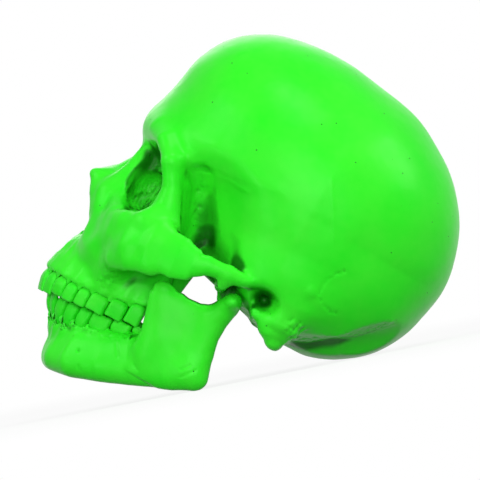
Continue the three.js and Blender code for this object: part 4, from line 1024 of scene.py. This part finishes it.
crownTree = toothTree(crownProfiles)
for row, teeth in rows.items():
    for tooth in teeth:
        look = dict(zip(crownSizes, crownKinds[tooth["kind"]]))
        slant = crownProfiles["slant"] if look["Cusps"] else 0.0
        look.update({
            "Half Width": tooth["halfWidth"], "Half Depth": tooth["halfDepth"],
            "Crown": tooth["crown"] + crownProfiles["taller"][tooth["kind"]],
            "Root": tooth["root"], "Lean": tooth["lean"], "Bend": tooth["bend"],
            "Slant": slant if row == "upper" else -slant, "Material": materials["tooth_resin"],
        })
        for side, way in (("left", 1), ("right", -1)):
            node = f"{row}_{side}_{tooth['name']}"
            piece = runTree(f"{node}_crown", crownTree, look)
            axes = Matrix((tooth["along"], tooth["out"], tooth["up"])).transposed().to_4x4()
            local = Matrix.Diagonal((way, 1, 1, 1)) @ Matrix.Translation(tooth["neck"]) @ axes
            piece.data.transform(toTable @ local)
            if local.determinant() < 0:
                piece.data.flip_normals()
            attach(piece, "skull" if row == "upper" else "jaw")
            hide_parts(node)
print("teeth made:", 2 * sum(len(teeth) for teeth in rows.values()))


studio = {
    "worldColor": (0.86, 0.9, 0.86, 1), "worldStrength": 0.08,
    "lamps": [  # place in metres, size, power
        ("front", (1.85, 0.18, 0.42), 0.9, 18),
        ("top", (0.89, 0.63, 1.65), 0.6, 12),
        ("face", (0.89, -1.12, 1.34), 0.7, 11),
        ("low", (1.5, -1.17, 0.3), 0.5, 5),
        ("back", (0.33, 1.75, 0.72), 0.8, 14),
        ("far", (-1.5, 0.0, 0.9), 1.0, 6),
    ],
    "target": (0, 0.0, 0.09),  # where the lamps point
    "floorSide": 8.0,
    "floorColor": (0.85, 0.85, 0.85, 1),
    "floorBounce": (0.12, 0.12, 0.12, 1),  # what the floor throws back on the skull
    "floorRoughness": 0.9,
    "fade": (0.3, 1.1),  # metres from the object over which the floor turns plain white
    "floorGlow": 0.86,
}


def seenDirectly(tree):
    rays = wiresOf(addNode(tree, "LightPath"))
    direct = calc("MAXIMUM", rays["Is Camera Ray"], rays["Is Glossy Ray"])
    return calc("MAXIMUM", direct, rays["Is Transmission Ray"])


def mixShader(share, a, b):
    return wire(share.tree, "MixShader", i0=share, i1=a, i2=b)


def makeWorld():
    world = bpy.data.worlds.new("studio")
    world.use_nodes = True
    tree = world.node_tree
    light = tree.nodes["Background"]
    light.inputs["Color"].default_value = studio["worldColor"]
    light.inputs["Strength"].default_value = studio["worldStrength"]
    white = wire(tree, "Background", Color=(1, 1, 1, 1), Strength=1.0)
    both = mixShader(seenDirectly(tree), Wire(light.outputs[0]), white)
    both.into(tree.nodes["World Output"].inputs["Surface"])
    bpy.context.scene.world = world


def makeFloor():
    half = studio["floorSide"] / 2
    corners = half * np.array([(-1, -1, 0), (1, -1, 0), (1, 1, 0), (-1, 1, 0)])
    floor = placeObject("studio_floor", meshFrom("studio_floor", corners, np.array([[0, 1, 2, 3]])))
    material, tree, shader = newMaterial("studio_floor")
    seen = seenDirectly(tree)
    mixColor(seen, studio["floorBounce"], studio["floorColor"]).into(shader["Base Color"])
    shader["Roughness"].default_value = studio["floorRoughness"]
    plain = Wire(tree.nodes["Principled BSDF"].outputs[0])
    glow = wire(tree, "Emission", Color=(1, 1, 1, 1), Strength=1.0)
    away = wire(tree, "VectorMath", {"operation": "LENGTH"}, "Value", i0=objectPlace(tree))
    share = seen * ease(away, *studio["fade"], studio["floorGlow"])
    mixShader(share, plain, glow).into(tree.nodes["Material Output"].inputs["Surface"])
    floor.data.materials.append(material)


def makeLamps():
    for name, place, size, power in studio["lamps"]:
        lamp = bpy.data.lights.new(name, "AREA")
        lamp.size, lamp.energy = size, power
        holder = placeObject(name, lamp)
        holder.location = place
        away = Vector(place) - Vector(studio["target"])
        holder.rotation_euler = away.to_track_quat("Z", "Y").to_euler()


# The ear openings are at earPixel in the square photograph, and the line from the eye sockets to them
# is tipped by photoTip from the level.
camera = {
    "pixels": 480, "mmPerPixel": 0.535,
    "earPixel": (266, 291), "photoTip": 30.0,
    "distance": 6.0, "sensor": 36.0,
}


def makeCamera():
    tip = math.radians(camera["photoTip"])
    right, up = Vector((0, math.cos(tip), math.sin(tip))), Vector((0, -math.sin(tip), math.cos(tip)))
    middle = camera["pixels"] / 2
    aside = (middle - camera["earPixel"][0]) * camera["mmPerPixel"]
    rise = (camera["earPixel"][1] - middle) * camera["mmPerPixel"]
    centre = toTable @ (right * aside + up * rise)
    data = bpy.data.cameras.new("photo_camera")
    data.sensor_width = camera["sensor"]
    data.lens = camera["sensor"] * camera["distance"] / (camera["pixels"] * camera["mmPerPixel"] * 0.001)
    data.clip_end = 50
    holder = placeObject("photo_camera", data)
    axes = Matrix((turn @ right, turn @ up, Vector((1, 0, 0)))).transposed()
    holder.matrix_world = Matrix.Translation(centre + Vector((camera["distance"], 0, 0))) @ axes.to_4x4()
    bpy.context.scene.camera = holder


makeWorld()
makeFloor()
makeLamps()
makeCamera()
bpy.context.scene.view_settings.view_transform = "Standard"
print("studio ready")
